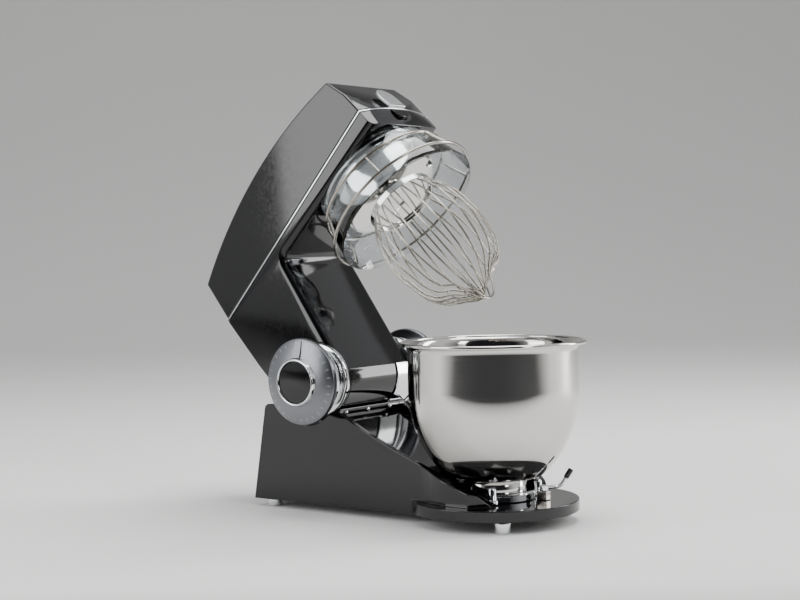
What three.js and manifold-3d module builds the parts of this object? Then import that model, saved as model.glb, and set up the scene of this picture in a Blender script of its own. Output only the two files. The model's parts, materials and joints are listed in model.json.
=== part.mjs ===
// Tilt-head planetary stand mixer with a steel bowl, a balloon whisk and a clear splash guard.
// Millimetres, +Z up. The front faces -Y and the speed dial is on the -X side.
// The head is shown raised. Arm parts are drawn with the head closed, about the hinge axis,
// and the arm group turns them back by TILT.
import * as THREE from 'three';
import { mergeVertices } from 'three/addons/utils/BufferGeometryUtils.js';
import Module from 'manifold-3d';

const wasm = await Module();
wasm.setup();

// Driving dimensions.
const HINGE_Y = 83;
const HINGE_Z = 173;
const TILT = THREE.MathUtils.degToRad(46.8);
const REACH = 216; // planetary axis in front of the hinge axis, head closed
const BOWL_Y = HINGE_Y - REACH;
const HALF_WIDTH = 70; // base, column and head
const WALL = 4;
const GAP = 0.4; // between neighbouring solids

const BASE_BOTTOM_Z = 10;
const PLATE_TOP_Z = 28;
const PLATE_BOTTOM_Z = 14;
const PLATE_RADIUS = 104;
const SEAT_RADIUS = 70; // round seat in the base for the column's foot
const COLUMN_FOOT_RADIUS = 66;
const BARREL_RADIUS = 44;
const BARREL_INNER_RADIUS = 40;
const SHAFT_RADIUS = 12;

const UNDERSIDE_Z = 154; // head's underside above the hinge axis, head closed
const SEAM_REAR_Z = 168.5;
const SEAM_SLOPE = 0.0313; // rise of the seam towards the nose
const HEAD_REAR_Y = 58;
const NOSE_Y = -294;
const NOSE_BOW = 9;

const DIAL_RADIUS = 55;
const DIAL_FACE_X = 121;
const DIAL_RIM_X = 105;

const BOWL_RADIUS = 105.5;
const BOWL_RIM_RADIUS = 116;
const BOWL_RIM_Z = 223.5;
const BOWL_BOTTOM_Z = 54;
const BOWL_SHOULDER_Z = 165; // where the round bottom begins
const BOWL_ROUND_DEPTH = 131; // vertical half axis of the round bottom
const BOWL_SHEET = 1.4;
const BOWL_FOOT_RADIUS = 39;

const GUARD_TOP_Z = 148;
const GUARD_RIM_Z = 80;
const GUARD_TOP_RADIUS = 85;
const GUARD_RIM_RADIUS = 101.5;
const UPPER_WIRE = { radius: 92.5, z: 128 };
const LOWER_WIRE = { radius: 105.4, z: 92.5 };
const GUARD_WIRE_RADIUS = 2;

const DRUM_RADIUS = 68;
const DRUM_BOTTOM_Z = 112;
const GEAR_MODULE = 2;
const PINION_TEETH = 12;
const RING_TEETH = 32;
const SPINDLE_OFFSET = GEAR_MODULE * (RING_TEETH - PINION_TEETH) / 2;
const SPINDLE_ANGLE = THREE.MathUtils.degToRad(212); // rest position of the spindle round the axis

const COLLAR_Z = 84;
const COLLAR_RADIUS = 47;
const WHISK_TIP_Z = -91;
const WHISK_LOOPS = 12;
const WHISK_WIRE_RADIUS = 1;
const LOOP_STEP = 2.2; // the loops cross one above the other at the tip

const MOTOR_Y = 4;
const MOTOR_PULLEY_RADIUS = 14;
const DRIVE_PULLEY_RADIUS = 52;
const BELT_Z = 188;
const BELT_WIDTH = 10;

const HOUSING_RADIUS = 60; // plate that carries the planetary gears
const NOTCH_ANGLE = -60; // round notch in the drum's edge
const BADGE = { radius: 16.5, low: 181.2, centre: 201.5, depth: 4 };
const BUTTON = { halfWidth: 16.8, depth: 14.5, top: 177.6, proud: 1.2, flange: 1.6 };
const COVER_SCREWS = [[-58, 150], [58, 150], [-58, -40], [58, -40]];

// Looks.
const paint = { color: 0x0b0b0c, roughness: 0.12, metalness: 0.1 };
const chrome = { color: 0xd8dadc, roughness: 0.12, metalness: 1 };
const steel = { color: 0xb9bbbd, roughness: 0.25, metalness: 1 };
const darkSteel = { color: 0x6d6f73, roughness: 0.35, metalness: 1 };
const clear = { color: 0xdfe8ee, roughness: 0.05, metalness: 0, transparent: true, opacity: 0.3 };
const rubber = { color: 0x111111, roughness: 0.7, metalness: 0 };
const blackPlastic = { color: 0x0a0a0a, roughness: 0.2, metalness: 0 };
const greyPlastic = { color: 0x3c3f42, roughness: 0.6, metalness: 0 };
const brass = { color: 0xb08d3f, roughness: 0.35, metalness: 1 };
const copper = { color: 0x9c5a34, roughness: 0.4, metalness: 1 };
const boardGreen = { color: 0x1d4d32, roughness: 0.5, metalness: 0 };

// Solids.

// Closed geometry as a manifold solid, with its faces turned out.
function solid(geometry) {
  const bare = geometry.clone();
  bare.deleteAttribute('normal');
  bare.deleteAttribute('uv');
  const merged = mergeVertices(bare, 1e-4);
  const position = merged.getAttribute('position').array;
  const corners = [];
  for (let i = 0; i < merged.index.count; i += 3) {
    const [a, b, c] = [0, 1, 2].map((k) => merged.index.getX(i + k));
    if (a !== b && b !== c && c !== a) corners.push([a, b, c]);
  }
  const point = (i) => new THREE.Vector3().fromArray(position, 3 * i);
  const volume = corners.reduce((sum, [a, b, c]) => sum + point(a).dot(point(b).cross(point(c))), 0);
  const facing = volume < 0 ? corners.map(([a, b, c]) => [a, c, b]) : corners;
  return new wasm.Manifold(new wasm.Mesh({
    numProp: 3,
    vertProperties: new Float32Array(position),
    triVerts: new Uint32Array(facing.flat()),
  }));
}

function join(first, ...others) {
  return others.reduce((whole, other) => whole.add(other), first);
}

function cut(first, ...others) {
  return others.reduce((whole, other) => whole.subtract(other), first);
}

function toGeometry(manifold) {
  const mesh = manifold.getMesh();
  const geometry = new THREE.BufferGeometry();
  geometry.setAttribute('position', new THREE.BufferAttribute(new Float32Array(mesh.vertProperties), 3));
  geometry.setIndex(new THREE.BufferAttribute(new Uint32Array(mesh.triVerts), 1));
  geometry.computeVertexNormals();
  return geometry;
}

// Outline drawn in (y, z), extruded along X from x0 to x1.
function prismX(shape, x0, x1, curveSegments = 12) {
  const geometry = new THREE.ExtrudeGeometry(shape, { depth: x1 - x0, bevelEnabled: false, curveSegments });
  const [x, y, z] = [0, 1, 2].map((i) => new THREE.Vector3().setComponent(i, 1));
  geometry.applyMatrix4(new THREE.Matrix4().makeBasis(y, z, x));
  return solid(geometry.translate(x0, 0, 0));
}

// Outline drawn in (x, y), extruded along Z from z0 to z1.
function prismZ(shape, z0, z1, curveSegments = 12) {
  const geometry = new THREE.ExtrudeGeometry(shape, { depth: z1 - z0, bevelEnabled: false, curveSegments });
  return solid(geometry.translate(0, 0, z0));
}

// Closed profile of (radius, z) points turned about Z.
function turned(points, segments = 32) {
  const profile = [...points, points[0]].map(([r, z]) => new THREE.Vector2(r, z));
  return solid(new THREE.LatheGeometry(profile, segments).rotateX(Math.PI / 2));
}

function rodZ(radius, z0, z1, x = 0, y = 0, segments = 20) {
  const geometry = new THREE.CylinderGeometry(radius, radius, z1 - z0, segments).rotateX(Math.PI / 2);
  return solid(geometry.translate(x, y, (z0 + z1) / 2));
}

function rodX(radius, x0, x1, y = 0, z = 0, segments = 32) {
  const geometry = new THREE.CylinderGeometry(radius, radius, x1 - x0, segments).rotateZ(Math.PI / 2);
  return solid(geometry.translate((x0 + x1) / 2, y, z));
}

function block(x0, x1, y0, y1, z0, z1) {
  const geometry = new THREE.BoxGeometry(x1 - x0, y1 - y0, z1 - z0);
  return solid(geometry.translate((x0 + x1) / 2, (y0 + y1) / 2, (z0 + z1) / 2));
}

function tubeZ(outer, inner, z0, z1, segments = 24) {
  return turned([[inner, z0], [outer, z0], [outer, z1], [inner, z1]], segments);
}

function tubeX(outer, inner, x0, x1, segments = 32) {
  return cut(rodX(outer, x0, x1, 0, 0, segments), rodX(inner, x0 - 1, x1 + 1, 0, 0, segments));
}

function circleShape(radius, x = 0, y = 0) {
  return new THREE.Shape().absarc(x, y, radius, 0, 2 * Math.PI, false);
}

// Round wire along a curve through the given points.
function wire(points, radius, steps, sides = 6) {
  const path = new THREE.CatmullRomCurve3(points.map((p) => new THREE.Vector3(...p)));
  const section = new THREE.Shape();
  for (let i = 0; i < sides; i += 1) {
    const angle = 2 * Math.PI * i / sides;
    const [x, y] = [radius * Math.cos(angle), radius * Math.sin(angle)];
    if (i === 0) section.moveTo(x, y);
    else section.lineTo(x, y);
  }
  return solid(new THREE.ExtrudeGeometry(section, { steps, extrudePath: path, bevelEnabled: false }));
}

// Point at a distance and an angle in degrees from the origin.
function polar(radius, angle) {
  return arc(radius, angle, angle, 1)[0];
}

function outline(points) {
  return new THREE.Shape(points.map(([x, y]) => new THREE.Vector2(x, y)));
}

// Points of an arc about a centre, from one angle to another in degrees.
function arc(radius, from, to, steps, x = 0, y = 0) {
  return Array.from({ length: steps + 1 }, (_, i) => {
    const angle = THREE.MathUtils.degToRad(from + (to - from) * i / steps);
    return [x + radius * Math.cos(angle), y + radius * Math.sin(angle)];
  });
}

// Points along a quadratic curve.
function bend(start, control, end, steps) {
  const curve = new THREE.QuadraticBezierCurve(...[start, control, end].map((p) => new THREE.Vector2(...p)));
  return curve.getPoints(steps).map((p) => [p.x, p.y]);
}

// The column's foot eases from its round back edge in to the barrel.
const FOOT_EASE_ANGLES = [-12, -52];
const FOOT_EASE = bend(
  polar(COLUMN_FOOT_RADIUS, FOOT_EASE_ANGLES[0]),
  [52, -33],
  polar(BARREL_RADIUS, FOOT_EASE_ANGLES[1]),
  12,
);

// Groups that set the frames of the moving assemblies.
const machine = new THREE.Group();
const hinge = new THREE.Group();
const arm = new THREE.Group();
const planet = new THREE.Group();
const spindle = new THREE.Group();
const bowlGroup = new THREE.Group();
hinge.position.set(0, HINGE_Y, HINGE_Z);
arm.position.set(0, HINGE_Y, HINGE_Z);
arm.rotation.x = -TILT;
planet.position.set(0, -REACH, 0);
spindle.position.set(SPINDLE_OFFSET * Math.cos(SPINDLE_ANGLE), SPINDLE_OFFSET * Math.sin(SPINDLE_ANGLE), 0);
bowlGroup.position.set(0, BOWL_Y, 0);
planet.add(spindle);
arm.add(planet);
machine.add(hinge, arm, bowlGroup);

function place(parent, name, manifold, look) {
  const mesh = new THREE.Mesh(toGeometry(manifold), new THREE.MeshStandardMaterial(look));
  mesh.name = name;
  parent.add(mesh);
}

// Base.

const REAR_Y = 206;
const REAR_TOP = [184, 137];
const CHEEK_FRONT_Y = -158;
const CHEEK_FRONT_Z = 42;
const RECESS_DEPTH = 9; // slope plate's face below the cheeks' edge
const PLATE_SHEET = 3;
const CHEEK_INNER_X = 62;
const SEAT_POCKET_RADIUS = 62;
const CRADLE_INNER_RADIUS = BARREL_RADIUS + 2 + GAP;
const CRADLE_OUTER_RADIUS = CRADLE_INNER_RADIUS + 3.2;
const PARTING_ANGLE = -126;
const SEAT_END_ANGLE = -99;
const STUD_ANGLE = -119;
const STUD_X = [-55, -10, 36];
const GLAND = { x: -40, z: 32, radius: 7 };
const CAVITY_X = HALF_WIDTH - WALL;

// The base's seat follows the foot at its raised stop, with a clearance that narrows to the cradle.
function seatEase() {
  const clearances = [SEAT_RADIUS - COLUMN_FOOT_RADIUS, CRADLE_INNER_RADIUS - BARREL_RADIUS];
  return FOOT_EASE.map(([y, z], i) => {
    const radius = Math.hypot(y, z) + THREE.MathUtils.lerp(...clearances, i / (FOOT_EASE.length - 1));
    const angle = Math.atan2(z, y) - TILT;
    return [HINGE_Y + radius * Math.cos(angle), HINGE_Z + radius * Math.sin(angle)];
  });
}

// Upper edge of the base's cheeks from below the barrel to the foot plate.
function cheekEdge(drop = 0) {
  return bend([56, 131 - drop], [-10, 91 - drop], [CHEEK_FRONT_Y, CHEEK_FRONT_Z - drop], 12);
}

// Rod pointing away from the hinge axis at an angle from +Y.
function radialRod(radius, inner, outer, x, angle, segments = 10) {
  const rod = rodZ(radius, inner, outer, 0, 0, segments);
  return rod.rotate([angle - 90, 0, 0]).translate([x, HINGE_Y, HINGE_Z]);
}

function baseCasting() {
  const side = outline([
    [REAR_Y, BASE_BOTTOM_Z],
    ...bend([REAR_TOP[0] + 1, REAR_TOP[1] - 8], REAR_TOP, [REAR_TOP[0] - 8, REAR_TOP[1]], 4),
    ...arc(SEAT_RADIUS, -31, -56, 5, HINGE_Y, HINGE_Z),
    ...seatEase(),
    ...arc(CRADLE_INNER_RADIUS, SEAT_END_ANGLE, PARTING_ANGLE, 5, HINGE_Y, HINGE_Z),
    ...cheekEdge(),
    [CHEEK_FRONT_Y - 14, PLATE_TOP_Z],
    [CHEEK_FRONT_Y - 14, BASE_BOTTOM_Z],
  ]);
  const halfPlan = [[HALF_WIDTH, REAR_Y + 1], [HALF_WIDTH, -68], [84, -122], [84, -150], [60, -176]];
  const plan = outline([...halfPlan, ...halfPlan.map(([x, y]) => [-x, y]).reverse()]);
  const body = prismX(side, -90, 90).intersect(prismZ(plan, 0, 200));
  const disc = prismZ(circleShape(PLATE_RADIUS, 0, BOWL_Y), PLATE_BOTTOM_Z, PLATE_TOP_Z, 28);
  const aboveSlope = prismX(outline([
    ...cheekEdge(RECESS_DEPTH + PLATE_SHEET + GAP),
    [CHEEK_FRONT_Y - 30, PLATE_TOP_Z],
    [CHEEK_FRONT_Y - 30, 160],
    [63, 160],
    [63, 118.6],
  ]), -CHEEK_INNER_X, CHEEK_INNER_X);
  const recess = aboveSlope.subtract(rodX(CRADLE_OUTER_RADIUS, -80, 80, HINGE_Y, HINGE_Z));
  const pocket = rodZ(SEAT_POCKET_RADIUS, PLATE_TOP_Z, 90, 0, BOWL_Y, 40);
  const cavity = prismX(outline([
    [200, 0],
    [183, 118],
    [146, 118],
    [128, 112],
    [114, 107],
    [102, 106],
    [86, 111],
    [66, 111],
    [45, 96],
    [-26, 66],
    [-64, 48],
    [-64, PLATE_TOP_Z - WALL],
    [-150, PLATE_TOP_Z - WALL],
    [-150, 0],
  ]), -CAVITY_X, CAVITY_X);
  const glandHole = rodZ(GLAND.radius + GAP, 0, 40, 0, 0, 24).rotate([90, 0, 0]);
  const studHoles = STUD_X.map((x) => radialRod(2 + GAP, 40, 60, x, STUD_ANGLE));
  return cut(join(body, disc), recess, pocket, cavity,
    glandHole.translate([GLAND.x, REAR_Y + 4, GLAND.z]), ...studHoles);
}

function slopePlate() {
  const top = cheekEdge(RECESS_DEPTH);
  const under = cheekEdge(RECESS_DEPTH + PLATE_SHEET).reverse();
  const sheet = prismX(outline([...top, ...under]), GAP - CHEEK_INNER_X, CHEEK_INNER_X - GAP);
  const pocket = rodZ(SEAT_POCKET_RADIUS + 2, 0, 200, 0, BOWL_Y, 40);
  const cradle = rodX(CRADLE_OUTER_RADIUS + GAP, -80, 80, HINGE_Y, HINGE_Z);
  return cut(sheet, pocket, cradle, block(-80, 80, -260, BOWL_Y, 0, 200));
}

function bottomCover() {
  const holes = COVER_SCREWS.map(([x, y]) => rodZ(2 + GAP, 0, 20, x, y, 10));
  const [low, high] = [BASE_BOTTOM_Z + 0.5, BASE_BOTTOM_Z + 2.7];
  return cut(block(GAP - CAVITY_X, CAVITY_X - GAP, -149, 197.5, low, high), ...holes);
}

const REAR_FEET = [[-54, 184], [54, 184]];
const FRONT_FEET = [[-70, -190], [70, -190]];
const FOOT_RADIUS = 10;

function foot(x, y, top) {
  const profile = [
    [0, 0], [FOOT_RADIUS - 2, 0], [FOOT_RADIUS, 2], [FOOT_RADIUS, top - 2], [FOOT_RADIUS - 1, top], [0, top],
  ];
  return turned(profile, 16).translate([x, y, 0]);
}

// Pan-head screw with its head down at z = 0.
function screw(radius, length) {
  const headRadius = 2 * radius;
  const slot = block(-headRadius, headRadius, -0.4, 0.4, -1, 0.8);
  const profile = [
    [0, 0], [headRadius - 0.8, 0], [headRadius, 0.8], [headRadius, 2], [radius, 2], [radius, length], [0, length],
  ];
  return cut(turned(profile, 10), slot);
}

function stud(x) {
  const dome = arc(4, 0, 90, 3).slice(1).map(([r, z]) => [r, 3 + z * 0.7]);
  const bead = [[0, 0], [2, 0], [2, 3], [4, 3], ...dome];
  const upright = turned(bead, 10).translate([0, 0, CRADLE_OUTER_RADIUS - 3 + GAP]);
  return upright.rotate([STUD_ANGLE - 90, 0, 0]).translate([x, HINGE_Y, HINGE_Z]);
}

function cordGland() {
  const { radius } = GLAND;
  const profile = [[0, 0], [radius, 0], [radius, 8], [radius + 3, 8], [radius + 3, 11], [radius - 1, 15], [0, 15]];
  const sleeve = turned(profile, 16);
  const socket = rodZ(3.2, 12.5, 20, 0, 0, 12);
  return cut(sleeve, socket).rotate([-90, 0, 0]).translate([GLAND.x, REAR_Y - 9.6, GLAND.z]);
}

place(machine, 'base_casting', baseCasting(), paint);
place(machine, 'slope_plate', slopePlate(), paint);
place(machine, 'bottom_cover', bottomCover(), darkSteel);
REAR_FEET.forEach(([x, y], i) => {
  place(machine, `rear_foot_${i + 1}`, foot(x, y, BASE_BOTTOM_Z + 0.2), chrome);
});
FRONT_FEET.forEach(([x, y], i) => {
  place(machine, `front_foot_${i + 1}`, foot(x, y, PLATE_BOTTOM_Z - GAP), chrome);
});
COVER_SCREWS.forEach(([x, y], i) => {
  place(machine, `cover_screw_${i + 1}`, screw(2, 14).translate([x, y, BASE_BOTTOM_Z - 1.9]), darkSteel);
});
STUD_X.forEach((x, i) => place(machine, `barrel_stud_${i + 1}`, stud(x), chrome));
place(machine, 'cord_gland', cordGland(), rubber);

// Control board, with its coil and capacitor, on the bottom cover.
const BOARD_Z = 34;

function controlBoard() {
  const board = block(-45, 45, 70, 170, BOARD_Z, BOARD_Z + 1.6);
  const posts = [[-40, 75], [40, 75], [-40, 165], [40, 165]];
  const legs = posts.map(([x, y]) => rodZ(3, BASE_BOTTOM_Z + 3.1, BOARD_Z + 1, x, y, 8));
  const coil = rodZ(13, BOARD_Z + 1, BOARD_Z + 20, -15, 100, 16);
  const capacitor = rodZ(9, BOARD_Z + 1, BOARD_Z + 32, 18, 140, 16);
  return join(board, ...legs, coil, capacitor, block(-35, -10, 130, 155, BOARD_Z + 1, BOARD_Z + 22));
}

place(machine, 'control_board', controlBoard(), boardGreen);

// Hinge. Parts are drawn about the hinge axis.
const WEB_X = 50;
const WEB_THICKNESS = 8;
const WEB_LENGTH = 59.4; // down to the base's seat
const WEB_ANGLE = -70.4; // runs between the arm's rear wall and its barrel, head up or down
const RING_X = [71, 80];
const COLLAR_X = [85, 104.5];

function hingeBracket() {
  const web = (x) => {
    const legSide = outline([[-6.4, 0], [6.4, 0], [5.5, WEB_LENGTH], [-5.5, WEB_LENGTH]]);
    const leg = prismX(legSide, x, x + WEB_THICKNESS);
    return join(leg.rotate([WEB_ANGLE - 90, 0, 0]), rodX(20, x, x + WEB_THICKNESS, 0, 0, 20));
  };
  const barSide = outline([[-5.6, 51], [5.6, 51], [5.5, WEB_LENGTH], [-5.5, WEB_LENGTH]]);
  const bar = prismX(barSide, -WEB_X, WEB_X).rotate([WEB_ANGLE - 90, 0, 0]);
  const webs = join(web(WEB_X), web(-WEB_X - WEB_THICKNESS), bar);
  return cut(webs, rodX(SHAFT_RADIUS + GAP, -90, 90, 0, 0, 24));
}

function hingeShaft() {
  return tubeX(SHAFT_RADIUS, 7, -84.6, 84.6, 24);
}

// Mirrors a near-side solid to the far side.
const farSide = (near) => near.mirror([1, 0, 0]);
const nearSide = (range) => range.map((x) => -x).reverse();

// Bright ring outside the column with a narrower neck towards the dial's collar.
function barrelRing() {
  const neck = rodX(41, 0.4 - COLLAR_X[0], 1 - RING_X[1], 0, 0, 24);
  return cut(join(rodX(46, ...nearSide(RING_X)), neck), rodX(SHAFT_RADIUS + GAP, -90, 0, 0, 0, 16));
}

function plainCollar() {
  return tubeX(44, 8, ...nearSide(COLLAR_X));
}

function dialCollar() {
  const mark = block(-100, -88, -1, 1, 43.4, 46);
  return join(plainCollar(), mark);
}

// Shallow dished disc with a raised ring at its middle.
function dialDisc() {
  const face = DIAL_FACE_X - DIAL_RIM_X;
  const profile = [
    [6, 0.4], [DIAL_RADIUS - 2, 0.4], [DIAL_RADIUS, 3], [DIAL_RADIUS, 6.5], [DIAL_RADIUS - 3, 9.5],
    [30, face], [28.5, face + 4.5], [26.4, face + 5], [26.4, face - 1], [6, face - 1],
  ];
  return turned(profile, 28).rotate([0, -90, 0]).translate([-DIAL_RIM_X, 0, 0]);
}

function dialCap() {
  const face = DIAL_FACE_X - DIAL_RIM_X;
  const profile = [[0, face - 0.6], [26, face - 0.6], [26, face + 3], [24, face + 3.6], [0, face + 3.6]];
  return turned(profile, 20).rotate([0, -90, 0]).translate([-DIAL_RIM_X, 0, 0]);
}

function dialShaft() {
  const face = DIAL_FACE_X - DIAL_RIM_X;
  return rodX(5.6, -DIAL_RIM_X - face + 1.4, -60, 0, 0, 24);
}

function speedSwitch() {
  return rodX(6.5, -59.6, -36, 0, 0, 24);
}

place(hinge, 'hinge_bracket', hingeBracket(), darkSteel);
place(hinge, 'hinge_shaft', hingeShaft(), steel);
place(hinge, 'barrel_ring', barrelRing(), chrome);
place(hinge, 'far_barrel_ring', farSide(barrelRing()), chrome);
place(hinge, 'dial_collar', dialCollar(), chrome);
place(hinge, 'lock_knob_collar', farSide(plainCollar()), chrome);
place(hinge, 'speed_switch', speedSwitch(), greyPlastic);
place(hinge, 'speed_dial', dialDisc(), darkSteel);
place(hinge, 'dial_cap', dialCap(), blackPlastic);
place(hinge, 'dial_shaft', dialShaft(), steel);
place(hinge, 'lock_knob', farSide(dialDisc()), darkSteel);
place(hinge, 'lock_knob_cap', farSide(dialCap()), blackPlastic);
place(hinge, 'lock_knob_shaft', farSide(dialShaft()), steel);

// Arm: the column and head casting, its cover and what they hold. Head closed, about the hinge axis.

const COLUMN_FRONT = [[-33.3, -17], [-68.5, 154]];
const BARREL_END_ANGLE = PARTING_ANGLE + 46.8;
const HEAD_HALF_WIDTH = 71;
const COVER_ARCH = 23;
const SLEEVE_X = [29.6, 65.7];
const BARREL_START_ANGLE = 207; // the barrel comes out below the column's front
const BARREL_LIP = { radius: 36, angle: 4 };

const seamZ = (y) => SEAM_REAR_Z + (HEAD_REAR_Y - y) * SEAM_SLOPE;

// Head seen from above: straight sides and a bowed nose. Inset shrinks it evenly.
function headPlan(inset = 0, rearInset = inset) {
  const half = HEAD_HALF_WIDTH - inset;
  const nose = bend([-half, NOSE_Y + inset], [0, NOSE_Y - 2 * NOSE_BOW + inset], [half, NOSE_Y + inset], 14);
  return outline([[half, HEAD_REAR_Y + 30 - rearInset], [-half, HEAD_REAR_Y + 30 - rearInset], ...nose]);
}

// Slab between two heights measured from the sloping seam.
function seamSlab(low, high) {
  const front = NOSE_Y - 60;
  const rear = HEAD_REAR_Y + 60;
  return prismX(outline([
    [front, seamZ(front) + low],
    [rear, seamZ(rear) + low],
    [rear, seamZ(rear) + high],
    [front, seamZ(front) + high],
  ]), -120, 120);
}

function armCasting() {
  const side = outline([
    [HEAD_REAR_Y, 180],
    [64, 90],
    [COLUMN_FOOT_RADIUS, 0],
    polar(COLUMN_FOOT_RADIUS, -4),
    ...FOOT_EASE,
    ...arc(BARREL_RADIUS, -56, BARREL_START_ANGLE - 360, 12),
    COLUMN_FRONT[0],
    ...bend([-66, 142], COLUMN_FRONT[1], [-80, UNDERSIDE_Z], 5),
    [NOSE_Y + 6 - NOSE_BOW, UNDERSIDE_Z],
    [NOSE_Y - 1 - NOSE_BOW, 183],
  ]);
  const outer = prismX(side, -90, 90).intersect(prismZ(headPlan(), -100, 300));
  const below = outer.subtract(seamSlab(-1.2, 100));
  const inner = prismX(outline([
    [HEAD_REAR_Y - WALL, 190],
    [60, 90],
    [COLUMN_FOOT_RADIUS - WALL, 0],
    ...arc(COLUMN_FOOT_RADIUS - WALL, -4, -17, 3),
    [0, 0],
    [COLUMN_FRONT[0][0] + WALL + 4, -17],
    [COLUMN_FRONT[1][0] + WALL, UNDERSIDE_Z + WALL],
    [NOSE_Y + 10 - NOSE_BOW, UNDERSIDE_Z + WALL],
    [NOSE_Y + 3 - NOSE_BOW, 190],
  ]), -CAVITY_X, CAVITY_X).intersect(prismZ(headPlan(WALL), -100, 300));
  const foot = prismX(outline([[0, 0], ...arc(100, -17, -85, 6)]), -CAVITY_X, CAVITY_X);
  const barrelArc = arc(BARREL_RADIUS + GAP, BARREL_START_ANGLE - 0.6, BARREL_END_ANGLE + 363, 12);
  const barrelSpace = prismX(outline([[0, 0], ...barrelArc]), -CAVITY_X, CAVITY_X);
  const headOpening = rodZ(HOUSING_RADIUS + GAP, 140, UNDERSIDE_Z + 8, 0, -REACH, 36);
  const bores = rodX(SHAFT_RADIUS + GAP, -90, 90);
  const buttonHole = buttonSolid(GAP, NOSE_Y - 20, NOSE_Y + 20);
  return cut(below, inner, foot, barrelSpace, headOpening, bores, buttonHole);
}

// Part ring about the hinge axis from the column's front, where a lip closes it, to the parting line.
function barrelShell(outer, x0, x1) {
  const [start, end] = [BARREL_START_ANGLE, BARREL_END_ANGLE + 360];
  const lip = arc(BARREL_LIP.radius, start + BARREL_LIP.angle, start, 1);
  const inside = arc(BARREL_INNER_RADIUS, end, start + BARREL_LIP.angle, 14);
  return prismX(outline([...arc(outer, start, end, 14), ...inside, ...lip]), x0, x1);
}

function coverOutline(inset) {
  const rear = HEAD_REAR_Y - 9 - inset;
  const front = NOSE_Y + 7 + inset;
  const crown = [(rear + front) / 2, 239 + 2 * COVER_ARCH - inset];
  const arch = bend([rear, 229 - inset], crown, [front, 246 - inset], 16);
  return outline([
    [HEAD_REAR_Y + 1 - inset, 160],
    ...arch,
    [NOSE_Y - 12 + inset, 160],
  ]);
}

function topCover() {
  const shell = (inset) => {
    const side = prismX(coverOutline(inset), -90, 90);
    return side.intersect(prismZ(headPlan(inset), 100, 320));
  };
  return cut(shell(0), shell(3.5), seamSlab(-100, 1.2));
}

function trimBand() {
  const band = prismZ(headPlan(-0.9), 100, 320).intersect(seamSlab(-0.8, 0.8));
  const rearCut = block(-100, 100, HEAD_REAR_Y + 0.9, 200, 100, 300);
  return cut(band, rearCut, prismZ(headPlan(3.2, 33), 100, 320));
}

// Direction of the cover's nose face in the (y, z) plane.
const noseLean = Math.atan2(7, 246 - 178);

// Plate with a round top, standing on the seam.
function noseBadge() {
  const { radius, low, centre, depth } = BADGE;
  const shape = outline([[-radius, low - centre], [radius, low - centre], ...arc(radius, 0, 180, 14)]);
  const lean = THREE.MathUtils.radToDeg(noseLean);
  return prismZ(shape, 0, depth).rotate([90 - lean, 0, 0]).translate([0, noseFaceY(centre) - 0.3, centre]);
}

// Middle of the bowed nose at a height.
function noseFaceY(z) {
  return NOSE_Y - NOSE_BOW + (z - 178) * 7 / 68;
}

// Half oval below the seam, grown evenly by a margin, between two depths.
function buttonSolid(margin, front, rear) {
  const { halfWidth, depth, top } = BUTTON;
  const rim = arc(1, 180, 360, 16).map(([x, z]) => [x * (halfWidth + margin), top + z * (depth + margin)]);
  const shape = outline([...rim, [halfWidth + margin, top + margin], [-halfWidth - margin, top + margin]]);
  return prismZ(shape, -rear, -front).rotate([90, 0, 0]);
}

function noseButton() {
  const [front, rear] = [NOSE_Y - NOSE_BOW - BUTTON.proud, NOSE_Y + 4];
  return join(buttonSolid(0, front, rear), buttonSolid(BUTTON.flange, rear - 2, rear));
}

place(arm, 'arm_casting', armCasting(), paint);
place(arm, 'hinge_barrel', barrelShell(BARREL_RADIUS, -65.7, SLEEVE_X[0] - GAP), paint);
place(arm, 'barrel_sleeve', barrelShell(BARREL_RADIUS + 2, ...SLEEVE_X), chrome);
place(arm, 'top_cover', topCover(), paint);
place(arm, 'trim_band', trimBand(), chrome);
place(arm, 'nose_badge', noseBadge(), steel);
place(arm, 'nose_button', noseButton(), blackPlastic);

// Motor in the column, with a belt to the planetary head.

const PLATE_Z = 146;

function motorPlate() {
  const holes = [[-30, -20], [30, -20], [-30, 28], [30, 28]].map(([x, y]) => rodZ(2.4, 130, 170, x, y, 8));
  return cut(block(-65.5, 65.5, -48, 50, PLATE_Z, PLATE_Z + 4), rodZ(12, 130, 170, 0, MOTOR_Y), ...holes);
}

function motorCan() {
  const top = PLATE_Z - GAP;
  const profile = [[0, 62], [10, 62], [10, 56], [34, 56], [38, 62], [38, top], [11, top], [11, top - 4], [0, top - 4]];
  return cut(turned(profile, 24), rodZ(4 + GAP, 100, 160, 0, 0, 12)).translate([0, MOTOR_Y, 0]);
}

function pulley(radius, bore) {
  const half = BELT_WIDTH / 2;
  const profile = [
    [bore, -half - 3], [radius + 3, -half - 3], [radius + 3, -half - 1], [radius, -half - 1],
    [radius, half + 1], [radius + 3, half + 1], [radius + 3, half + 3], [bore, half + 3],
  ];
  return turned(profile, radius > 30 ? 28 : 16).translate([0, 0, BELT_Z]);
}

// Flat loop round two pulleys, inset from its outer face.
function beltOutline(inset) {
  const small = MOTOR_PULLEY_RADIUS + 0.5 + 2 - inset;
  const large = DRIVE_PULLEY_RADIUS + 0.5 + 2 - inset;
  const lean = THREE.MathUtils.radToDeg(Math.asin((large - small) / (REACH + MOTOR_Y)));
  return outline([
    ...arc(small, lean, 180 - lean, 8, 0, MOTOR_Y),
    ...arc(large, 180 - lean, 360 + lean, 20, 0, -REACH),
  ]);
}

function driveBelt() {
  const layer = (inset) => prismZ(beltOutline(inset), BELT_Z - BELT_WIDTH / 2, BELT_Z + BELT_WIDTH / 2);
  return cut(layer(0), layer(2));
}

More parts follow.
